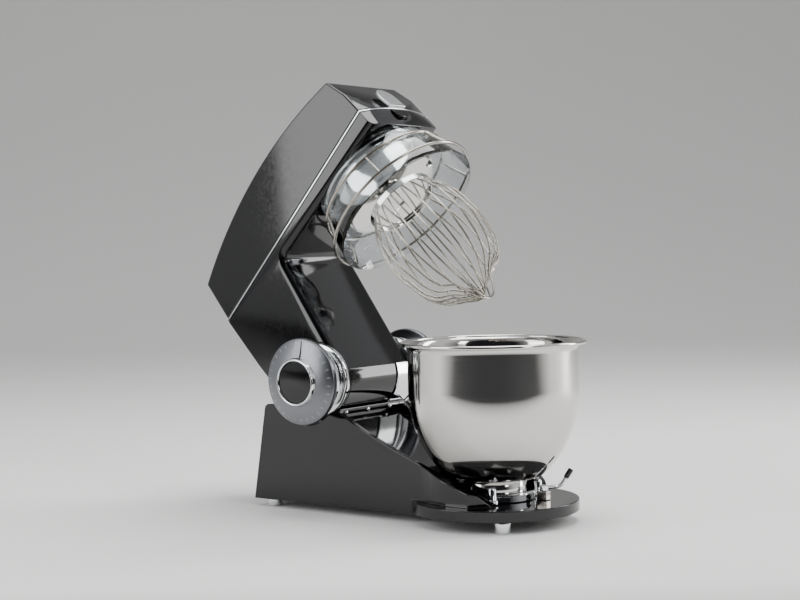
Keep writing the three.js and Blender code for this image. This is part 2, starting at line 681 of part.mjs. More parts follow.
place(arm, 'motor_plate', motorPlate(), darkSteel);
place(arm, 'motor', motorCan(), copper);
place(arm, 'motor_shaft', rodZ(4, 110, BELT_Z + 9, 0, MOTOR_Y, 24), steel);
place(arm, 'motor_pulley', pulley(MOTOR_PULLEY_RADIUS, 4 + GAP).translate([0, MOTOR_Y, 0]), darkSteel);
place(arm, 'drive_belt', driveBelt(), rubber);

// Planetary head, drawn about its own axis.

const HOUSING_Z = [150, 158];
const MAIN_SHAFT_RADIUS = 5.5;
const RING_GEAR_Z = [138, 149.6];
const BEARING_RADIUS = 14;

// Gear outline with straight-sided teeth, drawn inwards for a ring gear.
function gearOutline(teeth, inside) {
  const pitch = teeth * GEAR_MODULE / 2;
  const sign = inside ? -1 : 1;
  const root = pitch - sign * 2.3;
  const tip = pitch + sign * 1.5;
  const step = 2 * Math.PI / teeth;
  const points = Array.from({ length: teeth }, (_, i) => {
    const at = (radius, part) => [radius * Math.cos((i + part) * step), radius * Math.sin((i + part) * step)];
    return [at(root, -0.31), at(tip, -0.11), at(tip, 0.11), at(root, 0.31)];
  });
  return outline(points.flat());
}

function ringGear() {
  const body = rodZ(RING_TEETH * GEAR_MODULE / 2 + 9, ...RING_GEAR_Z, 0, 0, 24);
  return cut(body, prismZ(gearOutline(RING_TEETH, true), 130, 155));
}

function gearHousing() {
  const plate = rodZ(HOUSING_RADIUS, ...HOUSING_Z, 0, 0, 28);
  const tower = rodZ(BEARING_RADIUS + 4, HOUSING_Z[1] - 1, 176, 0, 0, 16);
  const flange = rodZ(HOUSING_RADIUS + 4, UNDERSIDE_Z + WALL + 0.4, UNDERSIDE_Z + WALL + 4, 0, 0, 28);
  return cut(join(plate, tower, flange), rodZ(BEARING_RADIUS + GAP, 163, 180), rodZ(8, 140, 180));
}

function mainShaft() {
  return rodZ(MAIN_SHAFT_RADIUS, DRUM_BOTTOM_Z + 6, BELT_Z + 10);
}

function planetDrum() {
  const profile = [
    [0, DRUM_BOTTOM_Z], [DRUM_RADIUS - 5, DRUM_BOTTOM_Z],
    [DRUM_RADIUS, DRUM_BOTTOM_Z + 5], [DRUM_RADIUS, 148],
    [DRUM_RADIUS - 3, 148], [DRUM_RADIUS - 3, DRUM_BOTTOM_Z + 6], [0, DRUM_BOTTOM_Z + 6],
  ];
  const notch = rodZ(9, 100, 135, DRUM_RADIUS - 2, 0, 16).rotate([0, 0, NOTCH_ANGLE]);
  const { x, y } = spindle.position;
  const seat = rodZ(BEARING_RADIUS, DRUM_BOTTOM_Z + 5, DRUM_BOTTOM_Z + 14, x, y);
  const clearShaft = rodZ(MAIN_SHAFT_RADIUS + GAP, DRUM_BOTTOM_Z + 5.6, 140);
  return cut(join(turned(profile, 32), seat), notch, clearShaft, rodZ(8 + GAP, 100, 140, x, y));
}

function spindleBush() {
  return tubeZ(8, 6 + GAP, DRUM_BOTTOM_Z - 3, DRUM_BOTTOM_Z + 14, 12);
}

function spindleRod() {
  const pin = rodX(2.2, -15, 15, 0, 98, 14);
  return join(rodZ(6, 90, 149), pin);
}

function pinion() {
  const angle = THREE.MathUtils.radToDeg(SPINDLE_ANGLE);
  const mesh = angle * (RING_TEETH / PINION_TEETH);
  const gear = prismZ(gearOutline(PINION_TEETH, false), RING_GEAR_Z[0] + 0.5, RING_GEAR_Z[1] - 1);
  return cut(gear.rotate([0, 0, angle - mesh + 180 / PINION_TEETH]), rodZ(6 + GAP, 120, 160));
}

place(planet, 'gear_housing', gearHousing(), greyPlastic);
place(planet, 'ring_gear', ringGear(), darkSteel);
place(planet, 'main_bearing', tubeZ(BEARING_RADIUS, MAIN_SHAFT_RADIUS + GAP, 163.4, 174, 20), steel);
place(planet, 'main_shaft', mainShaft(), steel);
place(planet, 'drive_pulley', pulley(DRIVE_PULLEY_RADIUS, MAIN_SHAFT_RADIUS + GAP), greyPlastic);
place(planet, 'planet_drum', planetDrum(), chrome);
place(spindle, 'spindle_bush', spindleBush(), brass);
place(spindle, 'spindle', spindleRod(), steel);
place(spindle, 'pinion', pinion(), steel);

// Splash guard: a clear shell inside a wire frame that hooks under the head.

function guardShell() {
  const t = 2.4;
  const profile = [
    [GUARD_RIM_RADIUS - t, GUARD_RIM_Z], [GUARD_RIM_RADIUS, GUARD_RIM_Z], [GUARD_TOP_RADIUS, GUARD_TOP_Z],
    [GUARD_TOP_RADIUS - 12, GUARD_TOP_Z + 3], [GUARD_TOP_RADIUS - 12, GUARD_TOP_Z + 0.6],
    [GUARD_TOP_RADIUS - t, GUARD_TOP_Z - t],
  ];
  return turned(profile, 40);
}

function guardWires() {
  const hoop = (ring) => {
    const section = arc(GUARD_WIRE_RADIUS, 0, 360, 4, ring.radius, ring.z).slice(0, 4);
    return turned(section, 28);
  };
  const ties = [30, 90, 150, 210, 270, 330].map((angle) => {
    const ends = [UPPER_WIRE, LOWER_WIRE].map(({ radius, z }) => [radius, 0, z]);
    const tie = wire(ends, 1.5, 1, 5);
    return tie.rotate([0, 0, angle]);
  });
  const hook = (x) => wire([
    [x, 103.5, LOWER_WIRE.z], [x, 113, 106], [x, 112, 120], [x, 100, 140], [x, 96, UNDERSIDE_Z - 2 * GAP],
  ], 1.8, 6, 5);
  return join(hoop(UPPER_WIRE), hoop(LOWER_WIRE), ...ties, hook(-14), hook(14));
}

place(planet, 'splash_guard', guardShell(), clear);
place(planet, 'guard_wires', guardWires(), steel);

// Balloon whisk on the spindle.

function whiskSocket() {
  const pinHole = rodX(2.2 + GAP, -20, 20, 0, 98, 16);
  const mouth = block(-20, 20, -2.6, 2.6, 98, 110);
  return cut(tubeZ(10, 6 + GAP, COLLAR_Z + 5, 104, 20), pinHole, mouth);
}

function whiskCollar() {
  const r = COLLAR_RADIUS;
  const web = [[0, 0], [r - 4, 0]];
  const rim = [[r - 4, -4], [r, -4], [r, 4.6], [r - 4, 4.6]];
  const profile = [...web, ...rim, [r - 4, 2.4], [0, 2.4]].map(([radius, z]) => [radius, COLLAR_Z + z]);
  const slot = block(-2, 2, 8, 20, 70, 100);
  return cut(turned(profile, 32), rodZ(4, 70, 100, 0, 0, 12), slot);
}

function whiskLoops() {
  return Array.from({ length: WHISK_LOOPS }, (_, i) => {
    const tip = WHISK_TIP_Z + i * LOOP_STEP;
    const half = [
      [44, COLLAR_Z - 2], [57, 58], [64.5, 22], [60, -16], [46, (tip - 16) / 2], [26, tip + 14], [8, tip + 2],
    ];
    const side = (sign) => half.map(([r, z]) => [sign * r, 0, z]);
    const path = [...side(1), [0, 0, tip], ...side(-1).reverse()];
    return wire(path, WHISK_WIRE_RADIUS, 12, 4).rotate([0, 0, 180 * i / WHISK_LOOPS]);
  });
}

place(spindle, 'whisk_socket', whiskSocket(), steel);
place(spindle, 'whisk', join(whiskCollar(), ...whiskLoops()), steel);

// Bowl, its foot ring, and the clamp on the foot plate.

const CLAMP_RADIUS = 50;
const PIN_ANGLES = [-150, -45, 45, 150];
const LEVER = { x: 16, y: -61, z: 42 }; // pivot from the bowl's axis

function bowlProfile(inset) {
  const wall = [];
  for (let i = 0; i <= 8; i += 1) {
    const angle = THREE.MathUtils.degToRad(90 * i / 8);
    const z = BOWL_SHOULDER_Z - (BOWL_ROUND_DEPTH - inset) * Math.sin(angle);
    const r = (BOWL_RADIUS - inset) * Math.cos(angle);
    if (z > BOWL_BOTTOM_Z + inset + 4) wall.push([r, z]);
  }
  return wall;
}

function bowl() {
  const neckZ = BOWL_RIM_Z - 7;
  const floorZ = BOWL_BOTTOM_Z + BOWL_SHEET;
  const outer = [[0, BOWL_BOTTOM_Z], [50, BOWL_BOTTOM_Z], ...bowlProfile(0).reverse(), [BOWL_RADIUS + 0.5, neckZ]];
  const roll = arc(2.6, 200, -20, 4, BOWL_RIM_RADIUS - 2.6, BOWL_RIM_Z - 2.6);
  const lip = [[-6.5, -3.5], [-3, -5], [0, -4]].map(([r, z]) => [BOWL_RIM_RADIUS + r, BOWL_RIM_Z + z]);
  const innerWall = [[BOWL_RADIUS - BOWL_SHEET + 0.5, neckZ], ...bowlProfile(BOWL_SHEET)];
  const inner = [...innerWall, [49, floorZ], [0, floorZ]];
  return turned([...outer, ...lip, ...roll.reverse(), ...inner], 32);
}

function bowlFoot() {
  const r = BOWL_FOOT_RADIUS;
  const low = PLATE_TOP_Z + GAP;
  return turned([[r - 3, low], [r, low], [r, BOWL_BOTTOM_Z - GAP], [r - 3, BOWL_BOTTOM_Z - GAP]]);
}

// Ring round the bowl's foot, with four upright pins on lugs.
function clampRing() {
  const low = PLATE_TOP_Z + GAP;
  const pin = turned([[0, low], [7, low], [7, low + 4], [5, low + 5], [5, 46], [3, 49], [0, 49.5]], 8);
  const lug = join(pin.translate([54, 0, 0]), block(45, 54, -5, 5, low, low + 3.6));
  const lugs = PIN_ANGLES.map((angle) => lug.rotate([0, 0, angle]));
  return join(tubeZ(CLAMP_RADIUS, BOWL_FOOT_RADIUS + 1, low, low + 9, 28), ...lugs);
}

function leverBlock() {
  const { x, y } = LEVER;
  return block(x - 6, x + 6, y - 7, y + 7, PLATE_TOP_Z + GAP, LEVER.z - 3);
}

function leverRod() {
  const { x, y, z } = LEVER;
  const hub = rodZ(5.5, z - 2.6, z + 4, x, y, 16);
  const bends = [[0, 0, 1], [12, -6, 1], [19, -11, 2], [25, -17, 12], [29, -22, 22]];
  const rod = wire(bends.map(([dx, dy, dz]) => [x + dx, y + dy, z + dz]), 2.4, 9, 6);
  return join(hub, rod);
}

place(machine, 'clamp_ring', clampRing().translate([0, BOWL_Y, 0]), chrome);
place(machine, 'lever_block', leverBlock().translate([0, BOWL_Y, 0]), steel);
place(bowlGroup, 'clamp_lever', leverRod(), chrome);
place(bowlGroup, 'bowl', bowl(), steel);
place(bowlGroup, 'bowl_foot_ring', bowlFoot(), steel);

// The origin is on the floor, under the middle of the whole machine.
machine.updateMatrixWorld(true);
const extent = new THREE.Box3().setFromObject(machine, true);
const middle = extent.getCenter(new THREE.Vector3());
machine.position.set(-middle.x, -middle.y, -extent.min.z);
machine.updateMatrixWorld(true);

export default machine;
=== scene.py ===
"""Tilt-head planetary stand mixer in gloss black enamel, chrome and stainless steel.

Lengths are millimetres in the frame of the piece being made, and become metres as it is placed.
"""
import json
import math

import bmesh
import bpy
from mathutils import Matrix, Vector


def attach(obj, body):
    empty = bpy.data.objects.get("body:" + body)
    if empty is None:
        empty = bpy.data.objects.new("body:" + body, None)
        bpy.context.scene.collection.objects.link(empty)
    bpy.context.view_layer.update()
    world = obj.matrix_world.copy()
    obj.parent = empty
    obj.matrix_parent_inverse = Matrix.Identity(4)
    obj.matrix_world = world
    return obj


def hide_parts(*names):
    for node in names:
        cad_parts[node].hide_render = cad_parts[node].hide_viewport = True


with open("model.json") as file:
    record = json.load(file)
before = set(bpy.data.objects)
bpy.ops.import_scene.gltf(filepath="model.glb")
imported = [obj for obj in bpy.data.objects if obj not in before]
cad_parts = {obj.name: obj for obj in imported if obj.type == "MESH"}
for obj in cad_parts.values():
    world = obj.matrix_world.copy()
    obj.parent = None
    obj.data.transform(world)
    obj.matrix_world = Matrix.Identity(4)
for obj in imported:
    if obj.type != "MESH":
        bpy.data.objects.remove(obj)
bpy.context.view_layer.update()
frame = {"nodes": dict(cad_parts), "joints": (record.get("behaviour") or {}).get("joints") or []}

# Camera: a long lens just above the worktop, on the dial's side and in front of the bowl.
# The heading is measured from +X towards +Y.
CAMERA_PLACE = (-1.6313, -1.2524, 0.3480)
CAMERA_HEADING = math.radians(37.33)
CAMERA_PITCH = math.radians(-2.12)
CAMERA_ROLL = math.radians(1.19)
LENS_MM = 71.8

camera = bpy.data.objects.new("camera", bpy.data.cameras.new("camera"))
camera.data.lens = LENS_MM
camera.data.clip_end = 30
ahead = Vector((math.cos(CAMERA_HEADING), math.sin(CAMERA_HEADING), 0))
across = Vector((-ahead.y, ahead.x, 0))
aim = (ahead + Vector((0, 0, math.tan(CAMERA_PITCH)))).normalized()
level = aim.to_track_quat("-Z", "Y").to_matrix().to_4x4()
camera.matrix_world = Matrix.Translation(CAMERA_PLACE) @ Matrix.Rotation(CAMERA_ROLL, 4, aim) @ level
bpy.context.scene.collection.objects.link(camera)
bpy.context.scene.camera = camera

# Stage: seamless matt paper, flat under the machine and curving up behind it.
# Matt paper shows no reflection, only a soft shadow and a trace of grain. In front of the
# machine it is painted dark, as painted shade standing in for an unlit studio, so that the bowl mirrors a dark middle
# between bright sides.
FLOOR_HALF = 6.0
BACK_DISTANCE = 3.2
SWEEP_RADIUS = 1.2
BACK_HEIGHT = 5.0
SWEEP_STEPS = 12


def linear(code):
    """Scene-linear colour with alpha from an sRGB hex value."""
    channels = [int(code[i:i + 2], 16) / 255 for i in (1, 3, 5)]
    return [c / 12.92 if c <= 0.04045 else ((c + 0.055) / 1.055) ** 2.4 for c in channels] + [1]


def new_material(name, **settings):
    """Material with a Principled surface. Underscores in a setting stand for spaces."""
    material = bpy.data.materials.new(name)
    material.use_nodes = True
    for key, value in settings.items():
        material.node_tree.nodes["Principled BSDF"].inputs[key.replace("_", " ")].default_value = value
    return material


def add(material, kind, inputs=None, links=(), **settings):
    """Node of a kind with its input values, its settings and links (input, other node, output)."""
    node = material.node_tree.nodes.new(kind)
    for key, value in settings.items():
        setattr(node, key, value)
    for key, value in (inputs or {}).items():
        node.inputs[key].default_value = value
    for key, other, output in links:
        material.node_tree.links.new(other.outputs[output], node.inputs[key])
    return node


def feed(material, socket, node, output):
    """Links a node's output to the surface's socket."""
    surface = material.node_tree.nodes["Principled BSDF"]
    material.node_tree.links.new(node.outputs[output], surface.inputs[socket])


def grained(material, size, bump, rough=None, stretch=(1, 1, 1), tints=None):
    """Gives a surface its grain: relief and gloss that vary over a real size, both in millimetres."""
    place = add(material, "ShaderNodeTexCoord")
    scaled = add(material, "ShaderNodeMapping", {"Scale": stretch}, [("Vector", place, "Object")])
    noise = add(material, "ShaderNodeTexNoise", {"Scale": 1000 / size, "Detail": 3.0}, [("Vector", scaled, "Vector")])
    relief = add(material, "ShaderNodeBump", {"Strength": 1.0, "Distance": bump / 1000}, [("Height", noise, "Fac")])
    feed(material, "Normal", relief, "Normal")
    if rough:
        gloss = add(material, "ShaderNodeMapRange",
                    {"From Min": 0.3, "From Max": 0.7, "To Min": rough[0], "To Max": rough[1]},
                    [("Value", noise, "Fac")])
        feed(material, "Roughness", gloss, "Result")
    if tints:
        ramp = add(material, "ShaderNodeValToRGB", links=[("Fac", noise, "Fac")])
        for element, position, tint in zip(ramp.color_ramp.elements, (0.35, 0.65), tints):
            element.position = position
            element.color = linear(tint)
        feed(material, "Base Color", ramp, "Color")
    return material


backdrop_paper = grained(new_material("matt_backdrop_paper", Roughness=0.92), 3.0, 0.02)
paper_place = add(backdrop_paper, "ShaderNodeTexCoord")
paper_reach = add(backdrop_paper, "ShaderNodeVectorMath", {1: tuple(-ahead)}, [(0, paper_place, "Object")],
                  operation="DOT_PRODUCT")
# Painted shade: the paper's colour goes from pale to near black towards the camera, standing in for an unlit studio.
paper_painted_shade = add(backdrop_paper, "ShaderNodeValToRGB", links=[("Fac", paper_reach, "Value")])
for stop, distance, tint in zip(paper_painted_shade.color_ramp.elements, (0.45, 0.95), ("#F3F2F0", "#2B2B2D")):
    stop.position, stop.color = distance, linear(tint)
feed(backdrop_paper, "Base Color", paper_painted_shade, "Color")
sweep = [(-FLOOR_HALF, 0), (BACK_DISTANCE, 0)]
for step in range(1, SWEEP_STEPS + 1):
    turn = math.radians(90 * step / SWEEP_STEPS)
    sweep.append((BACK_DISTANCE + SWEEP_RADIUS * math.sin(turn), SWEEP_RADIUS * (1 - math.cos(turn))))
sweep.append((BACK_DISTANCE + SWEEP_RADIUS, BACK_HEIGHT))
paper = bpy.data.meshes.new("backdrop")
paper.from_pydata(
    [ahead * d + across * side + Vector((0, 0, h)) for d, h in sweep for side in (FLOOR_HALF, -FLOOR_HALF)], [],
    [(2 * i, 2 * i + 1, 2 * i + 3, 2 * i + 2) for i in range(len(sweep) - 1)])
paper.shade_smooth()
paper.materials.append(backdrop_paper)
backdrop = bpy.data.objects.new("backdrop", paper)
bpy.context.scene.collection.objects.link(backdrop)

# Lights: one large softbox behind the dial's side, one in front, a strip beyond the bowl
# and a panel overhead, in a pale room with a dark end that the bowl mirrors at its middle.
SOFTBOXES = {
    # name: (place, target, width, height, watts)
    "side_softbox": ((-2.1, 1.2, 1.1), (0, 0.05, 0.3), 1.2, 1.6, 30),
    "bowl_strip": ((1.5, -1.2, 0.8), (0, -0.15, 0.2), 0.4, 1.6, 22),
    "top_panel": ((0.3, -0.1, 2.0), (0, 0, 0.2), 1.3, 1.3, 34),
    "front_fill": ((-0.5, -2.6, 1.3), (0, -0.1, 0.25), 0.5, 1.2, 14),
}
for name, (spot, target, width, height, watts) in SOFTBOXES.items():
    lamp = bpy.data.lights.new(name, "AREA")
    lamp.shape = "RECTANGLE"
    lamp.size, lamp.size_y, lamp.energy = width, height, watts
    light = bpy.data.objects.new(name, lamp)
    light.location = spot
    light.rotation_euler = (Vector(target) - Vector(spot)).to_track_quat("-Z", "Y").to_euler()
    bpy.context.scene.collection.objects.link(light)
SURROUND_STRENGTH = 0.9
world = bpy.data.worlds.new("studio")
world.use_nodes = True
room = world.node_tree.nodes["Background"]
room.inputs["Strength"].default_value = SURROUND_STRENGTH
room_place = add(world, "ShaderNodeTexCoord")
room_turn = add(world, "ShaderNodeVectorMath", {1: tuple(-ahead)}, [(0, room_place, "Generated")],
                operation="DOT_PRODUCT")
room_fade = add(world, "ShaderNodeValToRGB", links=[("Fac", room_turn, "Value")])
for stop, place, tint in zip(room_fade.color_ramp.elements, (0.3, 0.78), ("#F4F5F7", "#26272A")):
    stop.position, stop.color = place, linear(tint)
world.node_tree.links.new(room_fade.outputs["Color"], room.inputs["Color"])
bpy.context.scene.world = world

# Base: one pressure die casting in aluminium, open below, with a round seat for the column's
# foot, two cheeks either side of a sunk slope, and a round plate under the bowl.
# Gloss enamel over the casting gives a deep black with mirror reflections that waver a little,
# because wet paint dries with a faint orange peel a few millimetres across.
HINGE_Y, HINGE_Z = 83, 173
REACH = 216  # from the hinge axis to the planetary axis, head closed
BOWL_Y = HINGE_Y - REACH
CAVITY_X = 66
FLOOR_GAP = 10
PLATE_LOW, PLATE_TOP = 14, 28
PLATE_RADIUS = 104
SEAT_RADIUS = 70
COLUMN_FOOT_RADIUS = 66
BARREL_RADIUS, BARREL_INNER = 44, 40
CRADLE_INNER, CRADLE_OUTER = 46.4, 49.6
CHEEK_INNER_X = 62
PLATE_SUNK = 9
PLATE_SHEET = 3
POCKET_RADIUS = 62
PARTING_ANGLE = -126
EDGE_ROUND = 2.5
ROUND_STEPS = 4
LEVEL_FINISHES = ("gloss_black_enamel", "chrome_plate")  # no grain direction: the mesh itself is turned into place

hinge_place = Vector(next(j for j in frame["joints"] if j["name"] == "head_tilt")["pos_m"])
machine_frame = Matrix.Translation(hinge_place - Vector((0, HINGE_Y, HINGE_Z)) / 1000)
hinge_frame = Matrix.Translation(hinge_place)


def arc(radius, start, end, steps, x=0, y=0):
    """Points of an arc about a centre, between two angles in degrees."""
    turns = [math.radians(start + (end - start) * i / steps) for i in range(steps + 1)]
    return [(x + radius * math.cos(t), y + radius * math.sin(t)) for t in turns]


def bend(start, control, end, steps):
    """Points of a quadratic curve."""
    points = []
    for i in range(steps + 1):
        t = i / steps
        weights = ((1 - t) ** 2, 2 * t * (1 - t), t * t)
        points.append(tuple(sum(w * p[k] for w, p in zip(weights, (start, control, end))) for k in (0, 1)))
    return points


def extruded(outline, low, high, along="X"):
    """Solid from an outline in (y, z) drawn along X, or in (x, y) drawn along Z."""
    count = len(outline)
    points = [(d, a, b) if along == "X" else (a, b, d) for d in (low, high) for a, b in outline]
    walls = [(i, (i + 1) % count, (i + 1) % count + count, i + count) for i in range(count)]
    return points, [tuple(range(count))[::-1], tuple(range(count, 2 * count)), *walls]


def turned(profile, steps=96, start=0, end=360):
    """Closed profile of (radius, height) turned about Z, right round or part way."""
    full = end - start >= 360
    rows = steps if full else steps + 1
    count = len(profile)
    points = []
    for i in range(rows):
        turn = math.radians(start + (end - start) * i / steps)
        points += [(r * math.cos(turn), r * math.sin(turn), h) for r, h in profile]
    faces = []
    for i in range(steps):
        a, b = i * count, (i + 1) % rows * count
        faces += [(a + k, b + k, b + (k + 1) % count, a + (k + 1) % count) for k in range(count)]
    if not full:
        faces += [tuple(range(count))[::-1], tuple(range((rows - 1) * count, rows * count))]
    return points, faces


def moved(solid, matrix):
    """Solid carried by a matrix."""
    return [tuple(matrix @ Vector(p)) for p in solid[0]], solid[1]


def shift(x, y, z):
    """Matrix that moves by a distance."""
    return Matrix.Translation((x, y, z))


def spin(angle, axis="Z"):
    """Matrix that turns about an axis, in degrees."""
    return Matrix.Rotation(math.radians(angle), 4, axis)


def rod(radius, low, high, along="Z", steps=96):
    """Plain shaft, used to cut and to join."""
    solid = extruded(arc(radius, 0, 360, steps)[:-1], low, high, "Z")
    return moved(solid, spin(90, "Y")) if along == "X" else solid


def clean_mesh(name, solids):
    """Mesh of one or more solids with shared points merged and faces turned out."""
    mesh = bpy.data.meshes.new(name)
    points, faces = [], []
    for solid_points, solid_faces in solids:
        faces += [tuple(len(points) + i for i in face) for face in solid_faces]
        points += solid_points
    mesh.from_pydata(points, [], faces)
    work = bmesh.new()
    work.from_mesh(mesh)
    bmesh.ops.remove_doubles(work, verts=work.verts, dist=0.002)
    bmesh.ops.dissolve_degenerate(work, edges=work.edges, dist=0.002)
    bmesh.ops.recalc_face_normals(work, faces=work.faces)
    work.to_mesh(mesh)
    work.free()
    return mesh


def combined(solid, *others):
    """Solid after a list of ("DIFFERENCE" | "UNION" | "INTERSECT", other solid)."""
    body = bpy.data.objects.new("work", clean_mesh("work", [solid]))
    helpers = []
    bpy.context.scene.collection.objects.link(body)
    for operation, other in others:
        helper = bpy.data.objects.new("helper", clean_mesh("helper", [other]))
        bpy.context.scene.collection.objects.link(helper)
        helpers.append(helper)
        boolean = body.modifiers.new("boolean", "BOOLEAN")
        boolean.operation, boolean.solver, boolean.object = operation, "EXACT", helper
    result = body.evaluated_get(bpy.context.evaluated_depsgraph_get()).to_mesh()
    work = bmesh.new()
    work.from_mesh(result)
    bmesh.ops.remove_doubles(work, verts=work.verts, dist=0.005)
    bmesh.ops.dissolve_limit(work, angle_limit=math.radians(0.3), verts=work.verts, edges=work.edges)
    points = [tuple(v.co) for v in work.verts]
    work.verts.index_update()
    faces = [tuple(v.index for v in f.verts) for f in work.faces]
    work.free()
    for used in (body, *helpers):
        bpy.data.objects.remove(used)
    return points, faces


def cut(solid, *cutters):
    """Solid less the others."""
    return combined(solid, *(("DIFFERENCE", cutter) for cutter in cutters))


def piece(name, solids, material, local, body, finish, *nodes, sharp=35, rounded=0.0):
    """Makes a piece in its own frame, with rounded edges, and hides the parts it stands for."""
    mesh = clean_mesh(name, solids)
    mesh.transform(Matrix.Scale(0.001, 4))
    mesh.shade_smooth()
    mesh.set_sharp_from_angle(angle=math.radians(sharp))
    mesh.materials.append(material)
    made = bpy.data.objects.new(name, mesh)
    bpy.context.scene.collection.objects.link(made)
    if material.name in LEVEL_FINISHES:
        mesh.transform(local)
    else:
        made.matrix_world = local
    if rounded:
        bevel = made.modifiers.new("rounded_edges", "BEVEL")
        bevel.width = rounded / 1000
        bevel.segments = ROUND_STEPS
        bevel.limit_method = "ANGLE"
        bevel.angle_limit = math.radians(sharp)
        bevel.harden_normals = True
        bevel.use_clamp_overlap = False
    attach(made, body)
    if nodes:
        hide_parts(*nodes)
    return made


enamel = grained(new_material("gloss_black_enamel", Base_Color=linear("#08080A"), IOR=1.5),
                 5.0, 0.003, rough=(0.05, 0.1))


def cheek_edge(drop=0):
    """Upper edge of the cheeks from below the barrel down to the foot plate."""
    return bend((56, 131 - drop), (-10, 91 - drop), (-158, 42 - drop), 32)


TILT = math.asin(next(j for j in frame["joints"] if j["name"] == "planet_spin")["axis"][1])
(foot_start,), (foot_end,) = (arc(COLUMN_FOOT_RADIUS, -12, -12, 1)[:1], arc(BARREL_RADIUS, -52, -52, 1)[:1])
foot_ease = bend(foot_start, (52, -33), foot_end, 16)  # the column's foot, head closed
seat_ease = []  # the seat follows the foot at its raised stop, with a narrowing clearance
for i, (y, z) in enumerate(foot_ease):
    share = i / (len(foot_ease) - 1)
    clearance = (1 - share) * (SEAT_RADIUS - COLUMN_FOOT_RADIUS) + share * (CRADLE_INNER - BARREL_RADIUS)
    reach = math.hypot(y, z) + clearance
    angle = math.atan2(z, y) - TILT
    seat_ease.append((HINGE_Y + reach * math.cos(angle), HINGE_Z + reach * math.sin(angle)))
side = [
    (206, FLOOR_GAP),
    *bend((185, 129), (184, 137), (176, 137), 4),
    *arc(SEAT_RADIUS, -31, -56, 10, HINGE_Y, HINGE_Z),
    *seat_ease,
    *arc(CRADLE_INNER, -102, PARTING_ANGLE, 6, HINGE_Y, HINGE_Z),
    *cheek_edge(),
    (-172, PLATE_TOP), (-172, FLOOR_GAP),
]
half_plan = [(70, 207), (70, -68), *bend((74, -84), (84, -106), (84, -122), 6), (84, -150), (60, -176)]
plan = half_plan + [(-x, y) for x, y in reversed(half_plan)]
above_slope = extruded([
    *cheek_edge(PLATE_SUNK + PLATE_SHEET + 0.4), (-188, PLATE_TOP), (-188, 160), (63, 160), (63, 118.6),
], -CHEEK_INNER_X, CHEEK_INNER_X)
hinge_line = shift(0, HINGE_Y, HINGE_Z)
cradle_back = moved(rod(CRADLE_OUTER, -80, 80, "X"), hinge_line)
cavity = extruded([
    (200, 0), (183, 118), (146, 118), (128, 112), (114, 107), (102, 106), (86, 111), (66, 111),
    (45, 96), (-26, 66), (-64, 48), (-64, 24), (-150, 24), (-150, 0),
], -CAVITY_X, CAVITY_X)
casting = combined(
    extruded(side, -90, 90),
    ("INTERSECT", extruded(plan, 0, 200, "Z")),
    ("UNION", moved(rod(PLATE_RADIUS, PLATE_LOW, PLATE_TOP, steps=160), shift(0, BOWL_Y, 0))),
    ("DIFFERENCE", cut(above_slope, cradle_back)),
    ("DIFFERENCE", moved(rod(POCKET_RADIUS, PLATE_TOP, 90), shift(0, BOWL_Y, 0))),
    ("DIFFERENCE", cavity),
)
piece("base_shell", [casting], enamel, machine_frame, "base", "gloss_paint", "base_casting", rounded=EDGE_ROUND / 2)

# Slope plate: a pressed sheet under the bowl between the cheeks, polished and enamelled.
# It lies below the cheeks' edge, clear of the barrel's cradle and of the bowl's round seat.
slope = extruded([*cheek_edge(PLATE_SUNK), *reversed(cheek_edge(PLATE_SUNK + PLATE_SHEET))],
                 0.4 - CHEEK_INNER_X, CHEEK_INNER_X - 0.4)
slope = cut(
    slope,
    moved(rod(POCKET_RADIUS + 2, 0, 200), shift(0, BOWL_Y, 0)),
    moved(rod(CRADLE_OUTER + 0.4, -80, 80, "X"), hinge_line),
    extruded([(-80, -260), (80, -260), (80, BOWL_Y), (-80, BOWL_Y)], 0, 200, "Z"),
)
piece("slope_sheet", [slope], enamel, machine_frame, "base", "gloss_paint", "slope_plate", rounded=0.6)

# Feet: four turned and chromed pads screwed up into the casting, the front pair under the plate.
# Chrome over polished steel mirrors the room, with a slight unevenness from the buffing wheel.
chrome = grained(new_material("chrome_plate", Base_Color=linear("#E4E6E8"), Metallic=1.0),
                 14.0, 0.002, rough=(0.04, 0.09))
FOOT_RADIUS = 10
FEET = {
    "rear_foot_1": (-54, 184, 10.2), "rear_foot_2": (54, 184, 10.2),
    "front_foot_1": (-70, -190, 13.6), "front_foot_2": (70, -190, 13.6),
}
for node, (x, y, top) in FEET.items():
    pad = turned([(0, 0), *arc(2, -90, 0, 5, FOOT_RADIUS - 2, 2), *arc(1.5, 0, 90, 5, FOOT_RADIUS - 1.5, top - 1.5),
                  (0, top)], 48)
    piece(node + "_pad", [pad], chrome, machine_frame @ shift(x / 1000, y / 1000, 0), "base", "chrome", node)

# Hinge: a tube through both walls of the column carries, on each side, a bright ring and a
# collar, turned from steel and chromed. The collar on the dial's side has an index mark on top.
dial_side = hinge_frame @ spin(-90, "Y")  # its Z runs outwards along the axis, its X upwards
lock_side = hinge_frame @ spin(90, "Y")
SHAFT_HOLE = 12.4


def edged(points, chamfer=0.5):
    """Profile with every corner of a list of (radius, height) cut back by a small chamfer."""
    corners = [Vector(p) for p in points]
    result = []
    for i, corner in enumerate(corners):
        for other in (corners[i - 1], corners[(i + 1) % len(corners)]):
            result.append(tuple(corner + (other - corner).normalized() * chamfer))
    return result


